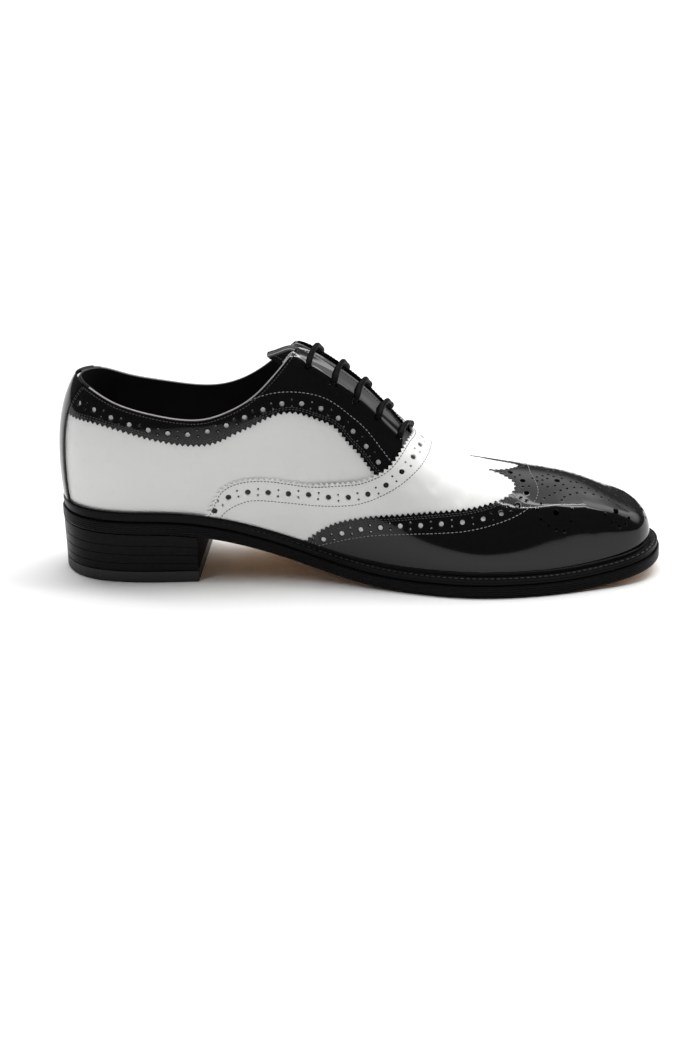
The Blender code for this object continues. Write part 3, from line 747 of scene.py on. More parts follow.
def patent(wire, place):
    """Black patent: a clear glossy coat that is not quite flat over soft leather."""
    wave = noise(wire, place, 0.035, 1.0)
    peel = noise(wire, place, 0.8, 1.0)
    dust = noise(wire, place, 0.25, 5.0, 0.7)
    soft = bump(wire, wave, 0.5, 0.25)
    return {"Base Color": dust.mixed((0.002, 0.002, 0.002), (0.005, 0.005, 0.005)),
            "Roughness": 0.04 + 0.07 * dust, "Normal": bump(wire, peel, 0.003, 0.5, soft)}


def plain_look(dark, light, cloud, fine=None, depth=0.06, strength=1.0, rough=None):
    """Two colours through a cloud, and a fine relief: both are given as what noise takes."""

    def build(wire, place):
        tone = noise(wire, place, *cloud)
        relief = noise(wire, place, *fine) if fine else tone
        look = {"Base Color": tone.mixed(dark, light), "Normal": bump(wire, relief, depth, strength)}
        return look | ({"Roughness": rough + 0.2 * tone} if rough else {})

    return build


def thread(name, dark, light, roughness):
    """Twisted thread."""
    return finish(name, plain_look(dark, light, (3.5, 2.0)), Roughness=roughness)


patent_leather = finish("black_patent", patent, Specular_IOR_Level=0.32)
grey_thread = thread("grey_thread", (0.16, 0.16, 0.165), (0.34, 0.34, 0.35), 0.55)
black_thread = thread("black_thread", (0.02, 0.02, 0.02), (0.06, 0.06, 0.062), 0.45)
fibres = plain_look((0.30, 0.265, 0.27), (0.46, 0.42, 0.42), (1.8, 4.0, 0.7), depth=0.12)
raw_edge = finish("raw_edge", fibres, Roughness=0.75)


def pinked(line, inward):
    """Saw-toothed edge cut by the pinking die; inward is 1 where the leather lies to the left."""
    run = run_of(line)[-1]
    teeth = round(run / TOOTH)
    phase = np.arange(teeth * 6) / 6
    at, _, sideways = walk(line, phase * run / teeth)
    cut = np.clip(np.abs((phase % 1) * 2 - 1) * 1.25 - 0.12, 0, 1) * TOOTH_DEPTH
    return at + sideways * (cut * inward)[:, None]


def broguing(line, start=0.0, pitch=BROGUE_PITCH, big=BIG_HOLE, small=SMALL_HOLE, close=0):
    """Punched row: large holes with a pair of small ones between; the first few can be closer."""
    steps = np.arange(200)
    places = start + pitch * steps - CLOSER * np.minimum(steps, close)
    run = run_of(line)[-1]
    middles = (places[:-1] + places[1:]) / 2
    at, _, _ = walk(line, places[places < run])
    between, _, sideways = walk(line, middles[middles < run])
    return ([(p, big, 12) for p in at]
            + [(p + s * d, small, 7) for p, s in zip(between, sideways) for d in (-PAIR_HALF, PAIR_HALF)])


def beads(at, along, across, size):
    """Points and faces of a small bead of thread at each place, laid by two directions."""
    bead_bm = bmesh.new()
    bmesh.ops.create_uvsphere(bead_bm, u_segments=6, v_segments=5, radius=0.5)
    bmesh.ops.rotate(bead_bm, verts=bead_bm.verts, matrix=Matrix.Rotation(math.pi / 2, 3, "Y"))
    bead = np.array([v.co for v in bead_bm.verts]) * size
    sides = [[v.index for v in f.verts] for f in bead_bm.faces]
    bead_bm.free()
    points = (at[:, None] + along[:, None] * bead[:, :1] + across[:, None] * bead[:, 1:2]
              + np.array([0, 0, 1.0]) * bead[:, 2:])
    faces = [[i + k * len(bead) for i in side] for k in range(len(at)) for side in sides]
    return points.reshape(-1, 3), faces


def sew(name, lines, height, material, pitch=1.75, length=1.3, thick=0.42, stand=0.03):
    """Rows of stitches: one small bead of thread for each, laid on the flat and pulled over."""
    places = [walk(line, np.arange(pitch / 2, run_of(line)[-1], pitch)) for line in lines]
    laid = [np.concatenate([place[k] for place in places]) for k in range(3)]
    laid = [np.column_stack([flat, np.full(len(flat), z)]) for flat, z in zip(laid, (stand, 0, 0))]
    points, faces = beads(*laid, [length, thick, thick * 0.8])
    mesh = bpy.data.meshes.new(name)
    mesh.from_pydata(points, [], faces)
    mesh.shade_smooth()
    pull_over_last(mesh, height)
    return new_piece(name, mesh, [material])


def plan_to_flat(points):
    """Pattern points of places given as station and side in plan."""
    points = np.asarray(points, float)
    steps = np.linspace(0, 0.8, 321)
    found = []
    for turn, point in zip(turn_of(column_of(points)), points):
        section = last_points(np.full(steps.shape, turn), 1 - steps)
        reach = np.hypot(section[:, 0] - section[0, 0], section[:, 1] - section[0, 1])
        step = np.interp(np.hypot(*(point - section[0, :2])), reach, steps)
        found.append(to_flat(np.array([turn]), np.array([1 - step]))[0])
    return np.array(found)


def lace_place(station, half, share):
    """Place in plan from the medial hole (-1) to the lateral one (1), which is nearer the toe."""
    return station + share * LACE_SLANT, RIDGE_Y(station) + share * half


def throat_roof(flat):
    """The instep rises to a narrow top under the laces."""
    off = (flat[:, 1] - RIDGE_Y(flat[:, 0])) / ROOF_WIDTH
    start, end = ((flat[:, 0] - ROOF_ENDS[0]) / ROOF_FADE, (ROOF_ENDS[1] - flat[:, 0]) / ROOF_FADE)
    return ROOF_RISE * np.exp(-off ** 2) * (soft_step(start) * soft_step(end))


def facing_height(flat):
    """The facing breaks along the lace holes, where it bends from the side to the top."""
    off = np.abs(flat[:, 1] - RIDGE_Y(flat[:, 0])) - BEND_PLACE
    bend = BEND_RISE * np.exp(-(off / BEND_WIDTH) ** 2) * soft_step((flat[:, 0] - 112) / 14)
    return FACING_LIFT + bend + throat_roof(flat) + creases(flat, FACING_FOLDS)


def grid(bm, columns, rows, point):
    """Grid of faces with its corner (i, j) at point(i, j); tells the corner of each vertex."""
    corner = {}
    for v in bmesh.ops.create_grid(bm, x_segments=columns, y_segments=rows, size=1)["verts"]:
        corner[v] = round((v.co.x + 1) / 2 * columns), round((v.co.y + 1) / 2 * rows)
        v.co = point(*corner[v])
    return corner


def cord_mesh(line, radius, sides):
    """Round cord on a line, with its length and its turn as UV."""
    bm = bmesh.new()
    tangent = unit(np.gradient(line, axis=0))
    side = np.cross(tangent[0], [1.0, 0.3, 0.2])
    ups = []
    for t in tangent:
        side = unit(side - t * np.dot(side, t))
        ups.append(side)

    def point(i, j):
        angle = i / sides * 2 * math.pi
        other = np.cross(tangent[j], ups[j])
        return to_world(line[j] + radius * (ups[j] * math.cos(angle) + other * math.sin(angle)))

    uv = bm.loops.layers.uv.new("UVMap")
    corner = grid(bm, sides, len(line) - 1, point)
    run = run_along(line)
    for face in bm.faces:
        for loop in face.loops:
            i, j = corner[loop.vert]
            loop[uv].uv = (run[j] / 10, i / sides)
    bmesh.ops.remove_doubles(bm, verts=bm.verts, dist=1e-6)
    bmesh.ops.holes_fill(bm, edges=[e for e in bm.edges if e.is_boundary], sides=0)
    return smooth_mesh(bm)


for name, side in (("facing_medial", -1), ("facing_lateral", 1)):
    edge, top = spline(on_line(FACING_EDGE, side)), top_line(side, 1.5, 0.35)
    outline = np.concatenate([pinked(edge, -side), on_line([(177, 0.50)], side), top[::-1]])
    lace_holes = [(p, LACE_HOLE, 16) for p in plan_to_flat([lace_place(*hole, side) for hole in LACE_HOLES])]
    holes = broguing(spline(on_line(COLLAR_HOLES, side)), 3.0) + lace_holes
    new_piece(f"{name}_leather", cut_leather(outline, facing_height, FACING_THICK, holes), [patent_leather],
              [name])
    rows = [*(aside(edge, row * -side) for row in EDGE_ROWS), aside(top, TOP_ROW * side)]
    sew(f"{name}_edge_stitches", rows, facing_height, black_thread)
    sew(f"{name}_stitches", [spline(on_line(COLLAR_STITCH, side))], facing_height, grey_thread, 2.1, 1.5)
    rim = top_line(side, RIM_START, RIM_DROP[side], RIM_APART)
    run = run_of(rim)
    rim = rim[:np.searchsorted(run, run[np.argmax(surface(rim)[:, 2])] + RIM_PAST_TOP)]
    rim_points = frames(walk(rim, np.arange(0, run_of(rim)[-1], 1.2))[0], -RIM_RADIUS)[0]
    new_piece(f"{name}_raw_edge", cord_mesh(rim_points, RIM_RADIUS, 8), [raw_edge], ())


# ---- Vamp ------------------------------------------------------------
# White calf vamp from the pinked edge over the facings down to the welt and under the wing
# tip. A thin black sheet under its row of holes is painted shade that makes the holes read dark; rows of dark
# stitches run along both its sides.
VAMP_THICK, VAMP_LIFT, LAP_RISE, LAP_START = 1.1, 0.5, 0.75, 118
# Thickness, depth and half width of the black sheet that is painted shade under the band's holes.
HOLE_SHADE_THICK, HOLE_SHADE_UNDER, HOLE_SHADE_HALF = 0.1, 0.85, 2.2
BAND_TOP = [(75, .0), (76, .01), (83, .13), (98.8, .215), (125.8, .245), (144.8, .3), (154.6, .345),
            (161.7, .4), (171.4, .535), (175.9, .67), (179.5, .84), (181.5, 1.0)]
BAND_HOLES = [(80, .015), (83.1, .065), (90.3, .125), (98.8, .155), (108.7, .17), (119.2, .185),
              (129.7, .205), (140.9, .225), (151.3, .26), (161.7, .32), (171.4, .43), (177.9, .55),
              (183.2, .715), (185.8, .86), (186.6, 1.0)]
BAND_STITCH = [(84, .0), (85, .02), (91, .075), (98.8, .115), (109.3, .135), (124.5, .155), (141.5, .19),
               (154.6, .24), (166.8, .33), (178.6, .48), (187.8, .695), (191.2, .915), (191.5, 1.0)]
VAMP_FRONT = [(150, .0), (168, .07), (188, .15), (209, .23), (226, .33), (235, .44), (237.3, .56),
              (237.6, .70), (236.8, .79), (233.6, .85), (229.4, .885), (227.6, .915), (230.2, .945),
              (235, .975), (239.5, 1.0)]
VAMP_FAR_FRONT = [(150, .0), (168, .12), (188, .25), (206, .40), (222, .56), (236, .72), (241, .86),
                  (241.6, .95)]
VAMP_FOLDS = [([(194, -33), (201, -17), (203, -3)], 0.30, 2.4),
              ([(207, -36), (213, -20), (214, -6)], 0.26, 2.2),
              ([(194, 26), (201, 13), (203, -1)], 0.28, 2.4),
              ([(206, 30), (212, 16), (213, 4)], 0.24, 2.2),
              ([(160, -52), (172, -40), (184, -36)], 0.22, 2.6)]


def over_ridge(rows):
    """Smooth pattern line of a table on the medial side, over the ridge and down the lateral."""
    return spline(np.concatenate([on_line(rows, -1), on_line(rows, 1)[-2::-1]]))


band_top = over_ridge(BAND_TOP)
coarse_top = band_top[::14]


def vamp_height(flat):
    """The vamp rises where it laps over the foot of the facings."""
    lap = 1 - soft_step((distance_to(flat, coarse_top) - 3) / 9)
    return VAMP_LIFT + LAP_RISE * lap * soft_step((flat[:, 0] - LAP_START) / 25) + creases(flat, VAMP_FOLDS)


# Height of the black sheet under the band's holes, which is painted shade and not a real backing.
def hole_shade_height(flat):
    return vamp_height(flat) - HOLE_SHADE_UNDER


vamp_front = spline(np.concatenate([on_line(VAMP_FRONT, -1), on_line(VAMP_FAR_FRONT, 1)[::-1]]))
band_low, front_low = turn_at(75, 1), turn_at(150, 1)
vamp_outline = np.concatenate([pinked(band_top, -1), foot_line(band_low, front_low, 0, 120)[1:],
                               vamp_front[::-1][1:-1], foot_line(-front_low, -band_low, 0, 120)[:-1]])
dark_thread = thread("dark_thread", (0.012, 0.012, 0.012), (0.045, 0.045, 0.045), 0.6)
band_line = over_ridge(BAND_HOLES)
band_holes = broguing(band_line, 3.0, 10.4, 1.45, 0.55)
new_piece("vamp", cut_leather(vamp_outline, vamp_height, VAMP_THICK, band_holes), [white_leather],
          ["vamp_band", "upper"])
sew("vamp_stitches", [aside(band_top, -2.0)[3:-3], over_ridge(BAND_STITCH)], vamp_height, dark_thread)
# Black sheet under the row of holes: painted shade that darkens the holes.
hole_shade_outline = np.concatenate([aside(band_line, HOLE_SHADE_HALF, 2.0), aside(band_line, -HOLE_SHADE_HALF, 2.0)[::-1]])
new_piece("vamp_hole_shade", cut_leather(hole_shade_outline, hole_shade_height, HOLE_SHADE_THICK, pitch=3.0), [lining_leather],
          ())


# ---- Wing tip --------------------------------------------------------
# Black patent wing tip: two wings run back along the welt and a long peak points up the
# instep. Its edge is pinked and brogued, and a medallion is punched over the toe.
WING_THICK, WING_LIFT, WING_PITCH = 1.1, 1.1, 10.6
TOE_TOP, TOE_TOP_SIZE, TOE_SINK = (288, -4.5), (20, 24), 2.1
WING_EDGE = [(126, 0), (135, .075), (143.5, .13), (153.9, .18), (166.8, .24), (181.9, .315), (197.1, .39),
             (212.5, .47), (223, .545), (230.6, .62), (234.4, .70), (234.4, .775), (230.8, .84),
             (226.2, .885), (221.2, .915)]
WING_FAR_EDGE = [(126, 0), (135, .075), (143.5, .14), (153.9, .21), (166.8, .31), (181.9, .43),
                 (197, .56), (207, .66), (217, .75), (226, .815), (233, .86), (237, .92), (235, .975)]
WING_PEAK = [(231, .975), (226.5, .94), (221.2, .915)]
WING_HOLES = [(132, .02), (140.2, .055), (148.1, .10), (158.4, .145), (168.1, .185), (178.6, .23),
              (188.5, .265), (198.4, .305), (209.6, .35), (219.5, .40), (228.8, .46), (237, .545),
              (241.4, .675), (240.4, .78), (237, .86), (231.5, .915)]
WING_STITCH = [(134, .005), (146, .06), (160.4, .12), (181.9, .195), (200.3, .25), (212.5, .295),
               (224.7, .36), (235.3, .435), (243.5, .54), (247.5, .68), (246.5, .83), (244.5, .93)]
MEDALLION_LARGE = [(256.3, -12.7), (255.0, -32.1), (285.4, -21.1)]
MEDALLION_CENTRE = (298.6, -4.8)
MEDALLION_SMALL = [(243.7, -13.8), (246.0, -12.1), (248.8, -10.0), (251.7, -7.5), (246.2, -15.7),
                   (248.8, -14.3), (251.3, -12.2), (248.7, -18.0), (251.4, -19.3), (254.5, -8.8),
                   (258.7, -9.3), (259.4, -15.2), (255.2, -17.4), (257.9, -5.6), (249.5, -27.1),
                   (252.2, -25.0), (254.9, -22.8), (258.0, -20.2), (261.3, -17.8), (265.0, -15.4),
                   (268.8, -13.6), (272.5, -12.0), (276.7, -11.7), (280.8, -12.0), (284.2, -12.4),
                   (287.9, -12.7), (291.6, -12.6), (295.4, -11.9), (298.2, -11.0), (300.1, -9.3),
                   (258.2, -26.3), (259.8, -24.0), (262.8, -21.5), (266.3, -19.2), (270.6, -17.0),
                   (275.0, -15.9), (279.0, -15.6), (283.0, -15.5), (287.0, -16.1), (290.5, -17.2),
                   (291.8, -19.8), (290.3, -22.6), (287.2, -24.7), (283.1, -25.4), (279.9, -24.6),
                   (247.7, -30.1), (245.7, -32.9), (247.5, -35.7), (251.3, -36.4), (255.1, -36.3),
                   (259.4, -35.4), (262.3, -32.4), (262.9, -28.8), (263.2, -10.6), (266.3, -9.7)]
MEDALLION_ROW = [(262.0, -4.2), (266.2, -4.2), (270.4, -4.2), (274.6, -4.3), (278.8, -4.4), (283.0, -4.4),
                 (287.2, -4.5), (291.4, -4.6)]
MIDDLE_OF_TOE = -4.4
SHOULDER = [(225, -38.5), (240, -35.5), (256.3, -31), (271, -26), (284, -22.7), (294, -18), (298, -11),
            (299, -5.5), (299, -3.5), (297.5, 2), (293, 9), (284, 16.2), (271, 20.5), (256.3, 25.8),
            (240, 31.3), (225, 35.7)]
SHOULDER_RISE, SHOULDER_WIDTHS, SHOULDER_START, SHOULDER_FADE = 2.3, (7.5, 12.0), 215, 40


def from_ridge(flat, column):
    """Run of points of the pattern from the ridge point of their section."""
    return np.linalg.norm(flat - section_at(column)[0], axis=1)


shoulder_flat = plan_to_flat(SHOULDER)
shoulder_column = column_of(shoulder_flat)
shoulder_run = from_ridge(shoulder_flat, shoulder_column)


def shoulder_at(column, own):
    """Run from the ridge to the shoulder on each section, from the shoulder's own points."""
    order = np.argsort(shoulder_column[own])
    return np.interp(column, shoulder_column[own][order], shoulder_run[own][order])


def wing_height(flat):
    """The toe is blocked flat on top, with a shoulder round it and a steep wall below."""
    over_toe = np.exp(-np.sum(((flat - TOE_TOP) / TOE_TOP_SIZE) ** 2, 1))
    column = column_of(flat)
    medial, own = (place < len(SECTIONS) / 2 for place in (column, shoulder_column))
    off = from_ridge(flat, column) - np.where(medial, shoulder_at(column, own), shoulder_at(column, ~own))
    ledge = np.exp(-(off / np.where(off < 0, *SHOULDER_WIDTHS)) ** 2)
    forward = soft_step((OUTLINE_X(turn_of(column)) - SHOULDER_START) / SHOULDER_FADE)
    return WING_LIFT - TOE_SINK * over_toe + SHOULDER_RISE * ledge * forward


def mirrored(spots):
    """The spots and their images over the middle of the toe."""
    spots = np.array(spots)
    return [*spots, *(spots * [1, -1] + [0, 2 * MIDDLE_OF_TOE])]


near_edge = spline(on_line(WING_EDGE, -1))
far_edge = spline(np.concatenate([on_line(WING_PEAK, -1)[::-1], on_line(WING_FAR_EDGE, 1)[::-1]]))
wing_low = turn_at(126, 1)
wing_outline = np.concatenate([
    pinked(near_edge, -1), pinked(far_edge, -1), foot_line(wing_low, 1, 0, 260)[1:-1],
    foot_line(-1, -wing_low, 0, 260)[:-1],
])
medallion = [(p, radius, sides) for spots, radius, sides in (
    ([*mirrored(MEDALLION_SMALL), *MEDALLION_ROW], 0.5, 8),
    ([*mirrored(MEDALLION_LARGE), MEDALLION_CENTRE], 1.3, 12)) for p in plan_to_flat(spots)]
far_row, far_stitch = (aside(far_edge, -down, 2.0)[14:] for down in (5.4, 9.6))
wing_holes = (broguing(spline(on_line(WING_HOLES, -1)[::-1]), 1.5, WING_PITCH, close=5)
              + broguing(spline(far_row), 1.0, WING_PITCH))
new_piece("wing_tip", cut_leather(wing_outline, wing_height, WING_THICK, wing_holes + medallion, pitch=2.0),
          [patent_leather], ["toe_cap"])
sew("wing_edge_stitches", [aside(line, -row)[4:-8] for line in (near_edge, far_edge) for row in EDGE_ROWS],
    wing_height, black_thread)
wing_stitch = spline(np.concatenate([on_line(WING_STITCH, -1), far_stitch]))
sew("wing_stitches", [wing_stitch], wing_height, grey_thread, 2.1, 1.5)


# ---- Backstrap -------------------------------------------------------
# Black patent strap that covers the seam up the back of the heel.
STRAP_LIFT, STRAP_THICK, STRAP_STATION, STRAP_EAR, STRAP_ROWS = 1.0, 1.1, 4.0, 9.0, (1.3, 2.4)


def strap_top(turns, station):
    """Rises just under the topline."""
    return rise_where(turns, height_of, natural_curve(*np.transpose(COLLAR["medial"]))(station) - 0.1)


def strap_side(side, inset=0.0):
    """Edge of the strap from the welt up to the ear that it makes at the topline."""
    share = np.linspace(0, 1, 70)
    station = STRAP_STATION + STRAP_EAR * soft_step((share - 0.55) / 0.75) ** 1.3
    turns = turn_at(station, side)
    return aside(to_flat(turns, share * strap_top(turns, station)), inset * side)


foot_turn, head_turn = turn_at(STRAP_STATION, 1), turn_of(column_of(strap_side(1)[-1:])[0])
head_turns = np.linspace(head_turn, -head_turn, 40)[1:-1]
strap_head = to_flat(head_turns, strap_top(head_turns, OUTLINE_X(head_turns)))
strap_outline = np.concatenate([foot_line(-foot_turn, foot_turn, 0, 30)[1:-1], strap_side(1), strap_head,
                                strap_side(-1)[::-1]])
new_piece("backstrap_leather", cut_leather(strap_outline, STRAP_LIFT, STRAP_THICK), [patent_leather],
          ["backstrap"])
sew("backstrap_stitches", [strap_side(side, row)[2:-2] for side in (-1, 1) for row in STRAP_ROWS], STRAP_LIFT,
    black_thread)


# ---- Tongue ----------------------------------------------------------
# Patent tongue under the facings, standing up behind the throat, with a stitched tab.
TONGUE_LIFT, TONGUE_THICK, TONGUE_DROP = -3.0, 1.6, 4.2
TONGUE_HALF = {"station": [108.5, 110, 113, 118, 130, 188], "half": [4.5, 8, 11, 14, 20, 20]}
tongue_x = np.concatenate([np.linspace(108.5, 117, 24), np.linspace(118, 188, 60)])


def tongue_side(side, inset=0.0):
    half = np.interp(tongue_x, TONGUE_HALF["station"], TONGUE_HALF["half"]) - inset
    turns = turn_at(tongue_x, side)
    return to_flat(turns, rise_where(turns, nearness_of, -half))


def tongue_height(flat):
    """The tongue lies lower where it stands free behind the throat."""
    return TONGUE_LIFT + throat_roof(flat) - TONGUE_DROP * soft_step((THROAT[0] - flat[:, 0]) / 16)


tongue_outline = np.concatenate([tongue_side(-1), tongue_side(1)[::-1]])
new_piece("tongue_leather", cut_leather(tongue_outline, tongue_height, TONGUE_THICK), [patent_leather],
          ["tongue"])
head = np.concatenate([tongue_side(-1, 2.2)[6:30][::-1], tongue_side(1, 2.2)[6:30]]) + [1.5, 0]
sew("tongue_stitches", [spline(head[::6])], tongue_height, black_thread)


# ---- Lace ------------------------------------------------------------
# One round waxed lace through five pairs of holes: straight bars outside, and inside it
# climbs from hole to hole between facing and tongue.
LACE_RADIUS, LACE_SIDES, LACE_STEP, LACE_DEPTHS = 1.42, 14, 0.7, (4.0, 2.0)
STRANDS_ALONG, STRANDS_ROUND = 38, 25.13
lace_path = []
for number, hole in enumerate(LACE_HOLES):
    shares = np.linspace(-1, 1, 17) * (1 if number % 2 == 0 else -1)
    points, _, _, normal = frames(plan_to_flat([lace_place(*hole, share) for share in shares]), facing_height)
    ends = points[[0, -1]] + normal[[0, -1]] * LACE_RADIUS * 0.5
    chord = ends[0] + (ends[1] - ends[0]) * np.linspace(0, 1, len(shares))[:, None]
    clear = np.sum((chord - points) * normal, 1)
    rise = np.maximum(clear, LACE_RADIUS * np.clip((1 - np.abs(shares)) / 0.1, 0.5, 0.95))
    lace_path += [*(points[0] - normal[0] * depth for depth in LACE_DEPTHS),
                  *(points + normal * rise[:, None]),
                  *(points[-1] - normal[-1] * depth for depth in LACE_DEPTHS[::-1])]
lace_path = np.array(lace_path)
knots = run_along(lace_path)
lace_line = at_run(np.linspace(0, knots[-1], int(knots[-1] / LACE_STEP)), knots, lace_path)
for _ in range(2):
    lace_line[1:-1] = (lace_line[:-2] + 2 * lace_line[1:-1] + lace_line[2:]) / 4


def braid(wire, place):
    """Waxed cotton: two sets of strands that cross on the slant."""
    uv = wire.node("ShaderNodeUVMap", {"uv_map": "UVMap"})
    run, turn = (wire.node("ShaderNodeSeparateXYZ", None, {0: uv}, axis) for axis in "XY")
    left, right = run * STRANDS_ALONG + turn * STRANDS_ROUND, run * STRANDS_ALONG - turn * STRANDS_ROUND
    weave = 0.5 + 0.5 * (wire.math("SINE", left) * wire.math("SINE", right))
    return {"Base Color": weave.mixed((0.001, 0.001, 0.001), (0.005, 0.005, 0.0053)),
            "Roughness": 0.6 - 0.15 * weave, "Normal": bump(wire, weave, 0.25, 0.9)}


lace_cotton = finish("lace_cotton", braid, Specular_IOR_Level=0.05)
new_piece("laces", cord_mesh(lace_line, LACE_RADIUS, LACE_SIDES), [lace_cotton],
          [f"lace_bar_{n}" for n in range(1, 6)])


# ---- Insole ----------------------------------------------------------
# Leather insole board with a black sock glued over it.
def dress(name, material):
    """Gives its look to a solid that stays in view."""
    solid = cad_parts[name].data
    solid.materials.clear()
    solid.materials.append(material)


dress("insole", lining_leather)


# ---- Welt ------------------------------------------------------------
# Black storm welt round the whole shoe: a round bead against the upper, a ledge with a row
# of dark stitches in a groove, and pressed ribs round the front.
SOLE_EDGE = {"station": [0, 60, 120, 160, 200, 302], "outset": [2, 2, 3.5, 6, 7, 7]}
WELT_FOOT = OUTSOLE + GAP
RIB_PITCH, RIB_DEPTH, WELT_INSET = 1.5, 0.28, 1.0
SEAM_PITCH, SEAM_START, SEAM_INSET, SEAM_HEIGHT = 2.9, 78, 1.55, 3.12


def around(count):
    """Turns at equal steps along the plan outline."""
    turns = np.linspace(-1, 1, 4001)
    run = run_along(np.stack([OUTLINE_X(turns), OUTLINE_Y(turns)], -1))
    return np.interp(np.linspace(0, run[-1], count), run, turns), run[-1]


def edge_loop(outset, turns):
    """Outline moved out by a distance in plan, as stations and sides."""
    small = 1e-3
    across_x = OUTLINE_X(turns + small) - OUTLINE_X(turns - small)
    across_y = OUTLINE_Y(turns + small) - OUTLINE_Y(turns - small)
    length = np.hypot(across_x, across_y)
    return OUTLINE_X(turns) - outset * across_y / length, OUTLINE_Y(turns) + outset * across_x / length


def sole_edge(turns):
    """How far the outsole stands out past the upper."""
    return np.interp(OUTLINE_X(turns), SOLE_EDGE["station"], SOLE_EDGE["outset"])


def swept(rows, wrap=False):
    """Rows of points round the sole joined into one skin; wrap closes the section."""
    rows = [*rows, rows[0]] if wrap else rows
    bm = bmesh.new()
    grid(bm, len(rows[0]) - 1, len(rows) - 1, lambda i, j: rows[j][i])
    bmesh.ops.remove_doubles(bm, verts=bm.verts, dist=1e-6)
    return bm


def sole_row(outset, height, turns):
    """Row of points round the sole at an outset and a height over the tread."""
    x, y = edge_loop(outset, turns)
    return to_world(np.stack([x, y, sole_height(x) + height], -1))


def welt_reach(turns):
    """How far the welt stands out, and how much of its full shape it has there."""
    reach = sole_edge(turns) - WELT_INSET
    return reach, np.clip((reach - 1.2) / 3.5, 0, 1)


# Black edge ink, burnished with a hot iron: satin, with faint drag marks along the edge.
edge_ink = plain_look((0.003, 0.003, 0.003), (0.009, 0.009, 0.0095), (0.5, 3.0), (3.0, 2.0), 0.05, 0.6, 0.22)
edge_black = finish("edge_ink", edge_ink, Specular_IOR_Level=0.06)
turns, welt_run = around(1500)
edge, wide = welt_reach(turns)
front = soft_step((OUTLINE_X(turns) - 160) / 20)
phase = np.arange(len(turns)) / (len(turns) - 1) * round(welt_run / RIB_PITCH)
ribs = RIB_DEPTH * wide * front * (0.5 - 0.5 * np.cos(2 * math.pi * phase))
roll = np.minimum(1.1, edge * 0.85)
section = [(GAP + 0 * edge, 0), (edge - 0.4, 0), (edge, 0.5), (edge, 1.4), (edge - 0.15 * wide, 1.6),
           (edge, 1.8), (edge, 2.8), (edge - 0.3 * wide, 3.2), (edge - 0.9 * wide, 3.3),
           (edge - 1.2 * wide, 2.95), (edge - 1.9 * wide, 2.95), (edge - 2.2 * wide, 3.3 - ribs),
           (edge - 3.4 * wide, 3.3 - ribs), (roll * 1.75 + 0.25 * wide, 3.1), (roll * 1.7, 3.5),
           (roll * 1.75, 4.2), (roll * 1.5, 4.9), (roll * 1.0, 5.25), (roll * 0.6, 5.1),
           (GAP + 0 * edge, 4.6)]
welt_bm = swept([sole_row(outset, WELT_FOOT + height, turns) for outset, height in section], True)
new_piece("welt_strip", smooth_mesh(welt_bm, 35), [edge_black], ["welt"])

sewn, _ = around(int(welt_run / SEAM_PITCH))
sewn = sewn[OUTLINE_X(sewn) > SEAM_START]
sewn_edge, sewn_wide = welt_reach(sewn)
x, y = edge_loop(sewn_edge - SEAM_INSET * sewn_wide, sewn)
ahead_x, ahead_y = edge_loop(sewn_edge - SEAM_INSET * sewn_wide, sewn + 1e-3)
tangent = unit(np.stack([ahead_x - x, ahead_y - y], -1))
centre = np.stack([x, y, sole_height(x) + WELT_FOOT + SEAM_HEIGHT], -1)
slope = sole_height(x + 0.5) - sole_height(x - 0.5)
along = np.stack([tangent[:, 0], tangent[:, 1], tangent[:, 0] * slope], -1)
across = np.stack([-tangent[:, 1], tangent[:, 0], 0 * x], -1)
points, faces = beads(centre, along, across, [2.1, 0.75, 0.6])
welt_stitches = bpy.data.meshes.new("welt_stitches")
welt_stitches.from_pydata(to_world(points), [], faces)
welt_stitches.shade_smooth()
welt_thread = thread("welt_thread", (0.03, 0.03, 0.03), (0.10, 0.10, 0.10), 0.5)
new_piece("welt_stitches", welt_stitches, [welt_thread])


# ---- Outsole ---------------------------------------------------------
# Leather outsole: black inked edge with fine lines run round it, tan tread face.
LINE_HEIGHTS, LINE_DEPTH, LINE_HALF, SOLE_STRIPS = [1.5, 2.6, 3.7, 4.8], 0.22, 0.22, 10

# Oak-tanned bend leather: tan, with cloudy grain and fine scratches.
tan = plain_look((0.42, 0.235, 0.11), (0.56, 0.34, 0.18), (0.05, 4.0), (1.5, 4.0, 0.7), 0.08, 0.6, 0.4)
sole_leather = finish("tan_sole", tan, Specular_IOR_Level=0.4)
turns, _ = around(600)
edge = sole_edge(turns)
section = [(edge - 1.3, 0.0), (edge - 0.5, 0.25), (edge - 0.1, 0.8)]
for line in LINE_HEIGHTS:
    section += [(edge, line - LINE_HALF), (edge - LINE_DEPTH, line), (edge, line + LINE_HALF)]
section += [(edge, OUTSOLE - 0.7), (edge - 0.25, OUTSOLE - 0.2), (edge - 0.8, OUTSOLE)]
sole_bm = swept([sole_row(outset, height, turns) for outset, height in section])


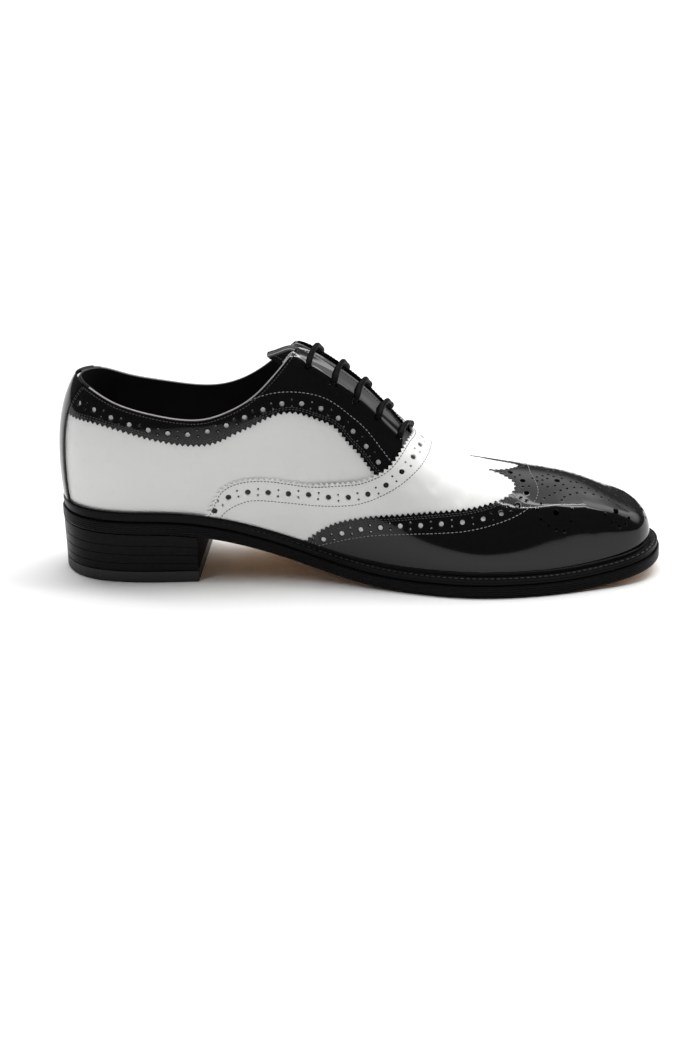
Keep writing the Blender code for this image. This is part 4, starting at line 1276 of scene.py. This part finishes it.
def sole_face(bm, outset, height):
    """Faces across the sole between its two edges."""
    half = len(turns) // 2
    plan = np.stack(edge_loop(outset, turns), -1)
    low, high = plan[:half + 1], plan[::-1][:half + 1]

    def point(i, j):
        x, y = low[i] + (high[i] - low[i]) * j / SOLE_STRIPS
        return to_world([x, y, sole_height(x) + height])

    made = grid(bm, half, SOLE_STRIPS, point)
    return [face for face in bm.faces if all(v in made for v in face.verts)]


for outset, height, slot_index in ((edge - 1.3, 0.0, 1), (edge - 0.8, OUTSOLE, 0)):
    for face in sole_face(sole_bm, outset, height):
        face.material_index = slot_index
bmesh.ops.remove_doubles(sole_bm, verts=sole_bm.verts, dist=2e-5)
new_piece("sole", smooth_mesh(sole_bm, 30), [edge_black, sole_leather], ["outsole"])


# ---- Heel ------------------------------------------------------------
# Stacked leather heel on a rubber lift, all inked black; the lifts of leather show as
# faint lines round the side.
HEEL_BREAST, TOP_LIFT, HEEL_FLARE = 72, 6.0, 0.7
LAYER_SEAMS, SEAM_HALF, SEAM_DEPTH = (0.22, 0.46, 0.70), 0.012, 0.16
breast = abs(turn_at(HEEL_BREAST, 1))
heel_turns = np.linspace(-breast, breast, 161)
heel_edge = sole_edge(heel_turns)


def heel_row(share, step):
    """Row round the heel from breast to breast, at a share of its height."""
    x, y = edge_loop(heel_edge - 1.0 + step + HEEL_FLARE * share, heel_turns)
    z = (TOP_LIFT + GAP) * (1 - share) + (sole_height(x) - GAP) * share
    return to_world(np.stack([x, y, z], -1))


layers = [(0.0, -0.3), (0.02, 0)]
for seam in LAYER_SEAMS:
    layers += [(seam - SEAM_HALF, 0), (seam, -SEAM_DEPTH), (seam + SEAM_HALF, 0)]
heel_bm = swept([heel_row(*layer) for layer in [*layers, (0.97, 0), (1.0, -0.1)]])
bmesh.ops.holes_fill(heel_bm, edges=[e for e in heel_bm.edges if e.is_boundary], sides=0)
new_piece("heel_stack", smooth_mesh(heel_bm, 30), [edge_black], ["heel_block"])
rubber = plain_look((0.010, 0.010, 0.010), (0.022, 0.022, 0.022), (2.0, 3.0), None, 0.08, 0.5, 0.45)
dress("top_lift", finish("lift_rubber", rubber, Specular_IOR_Level=0.35))
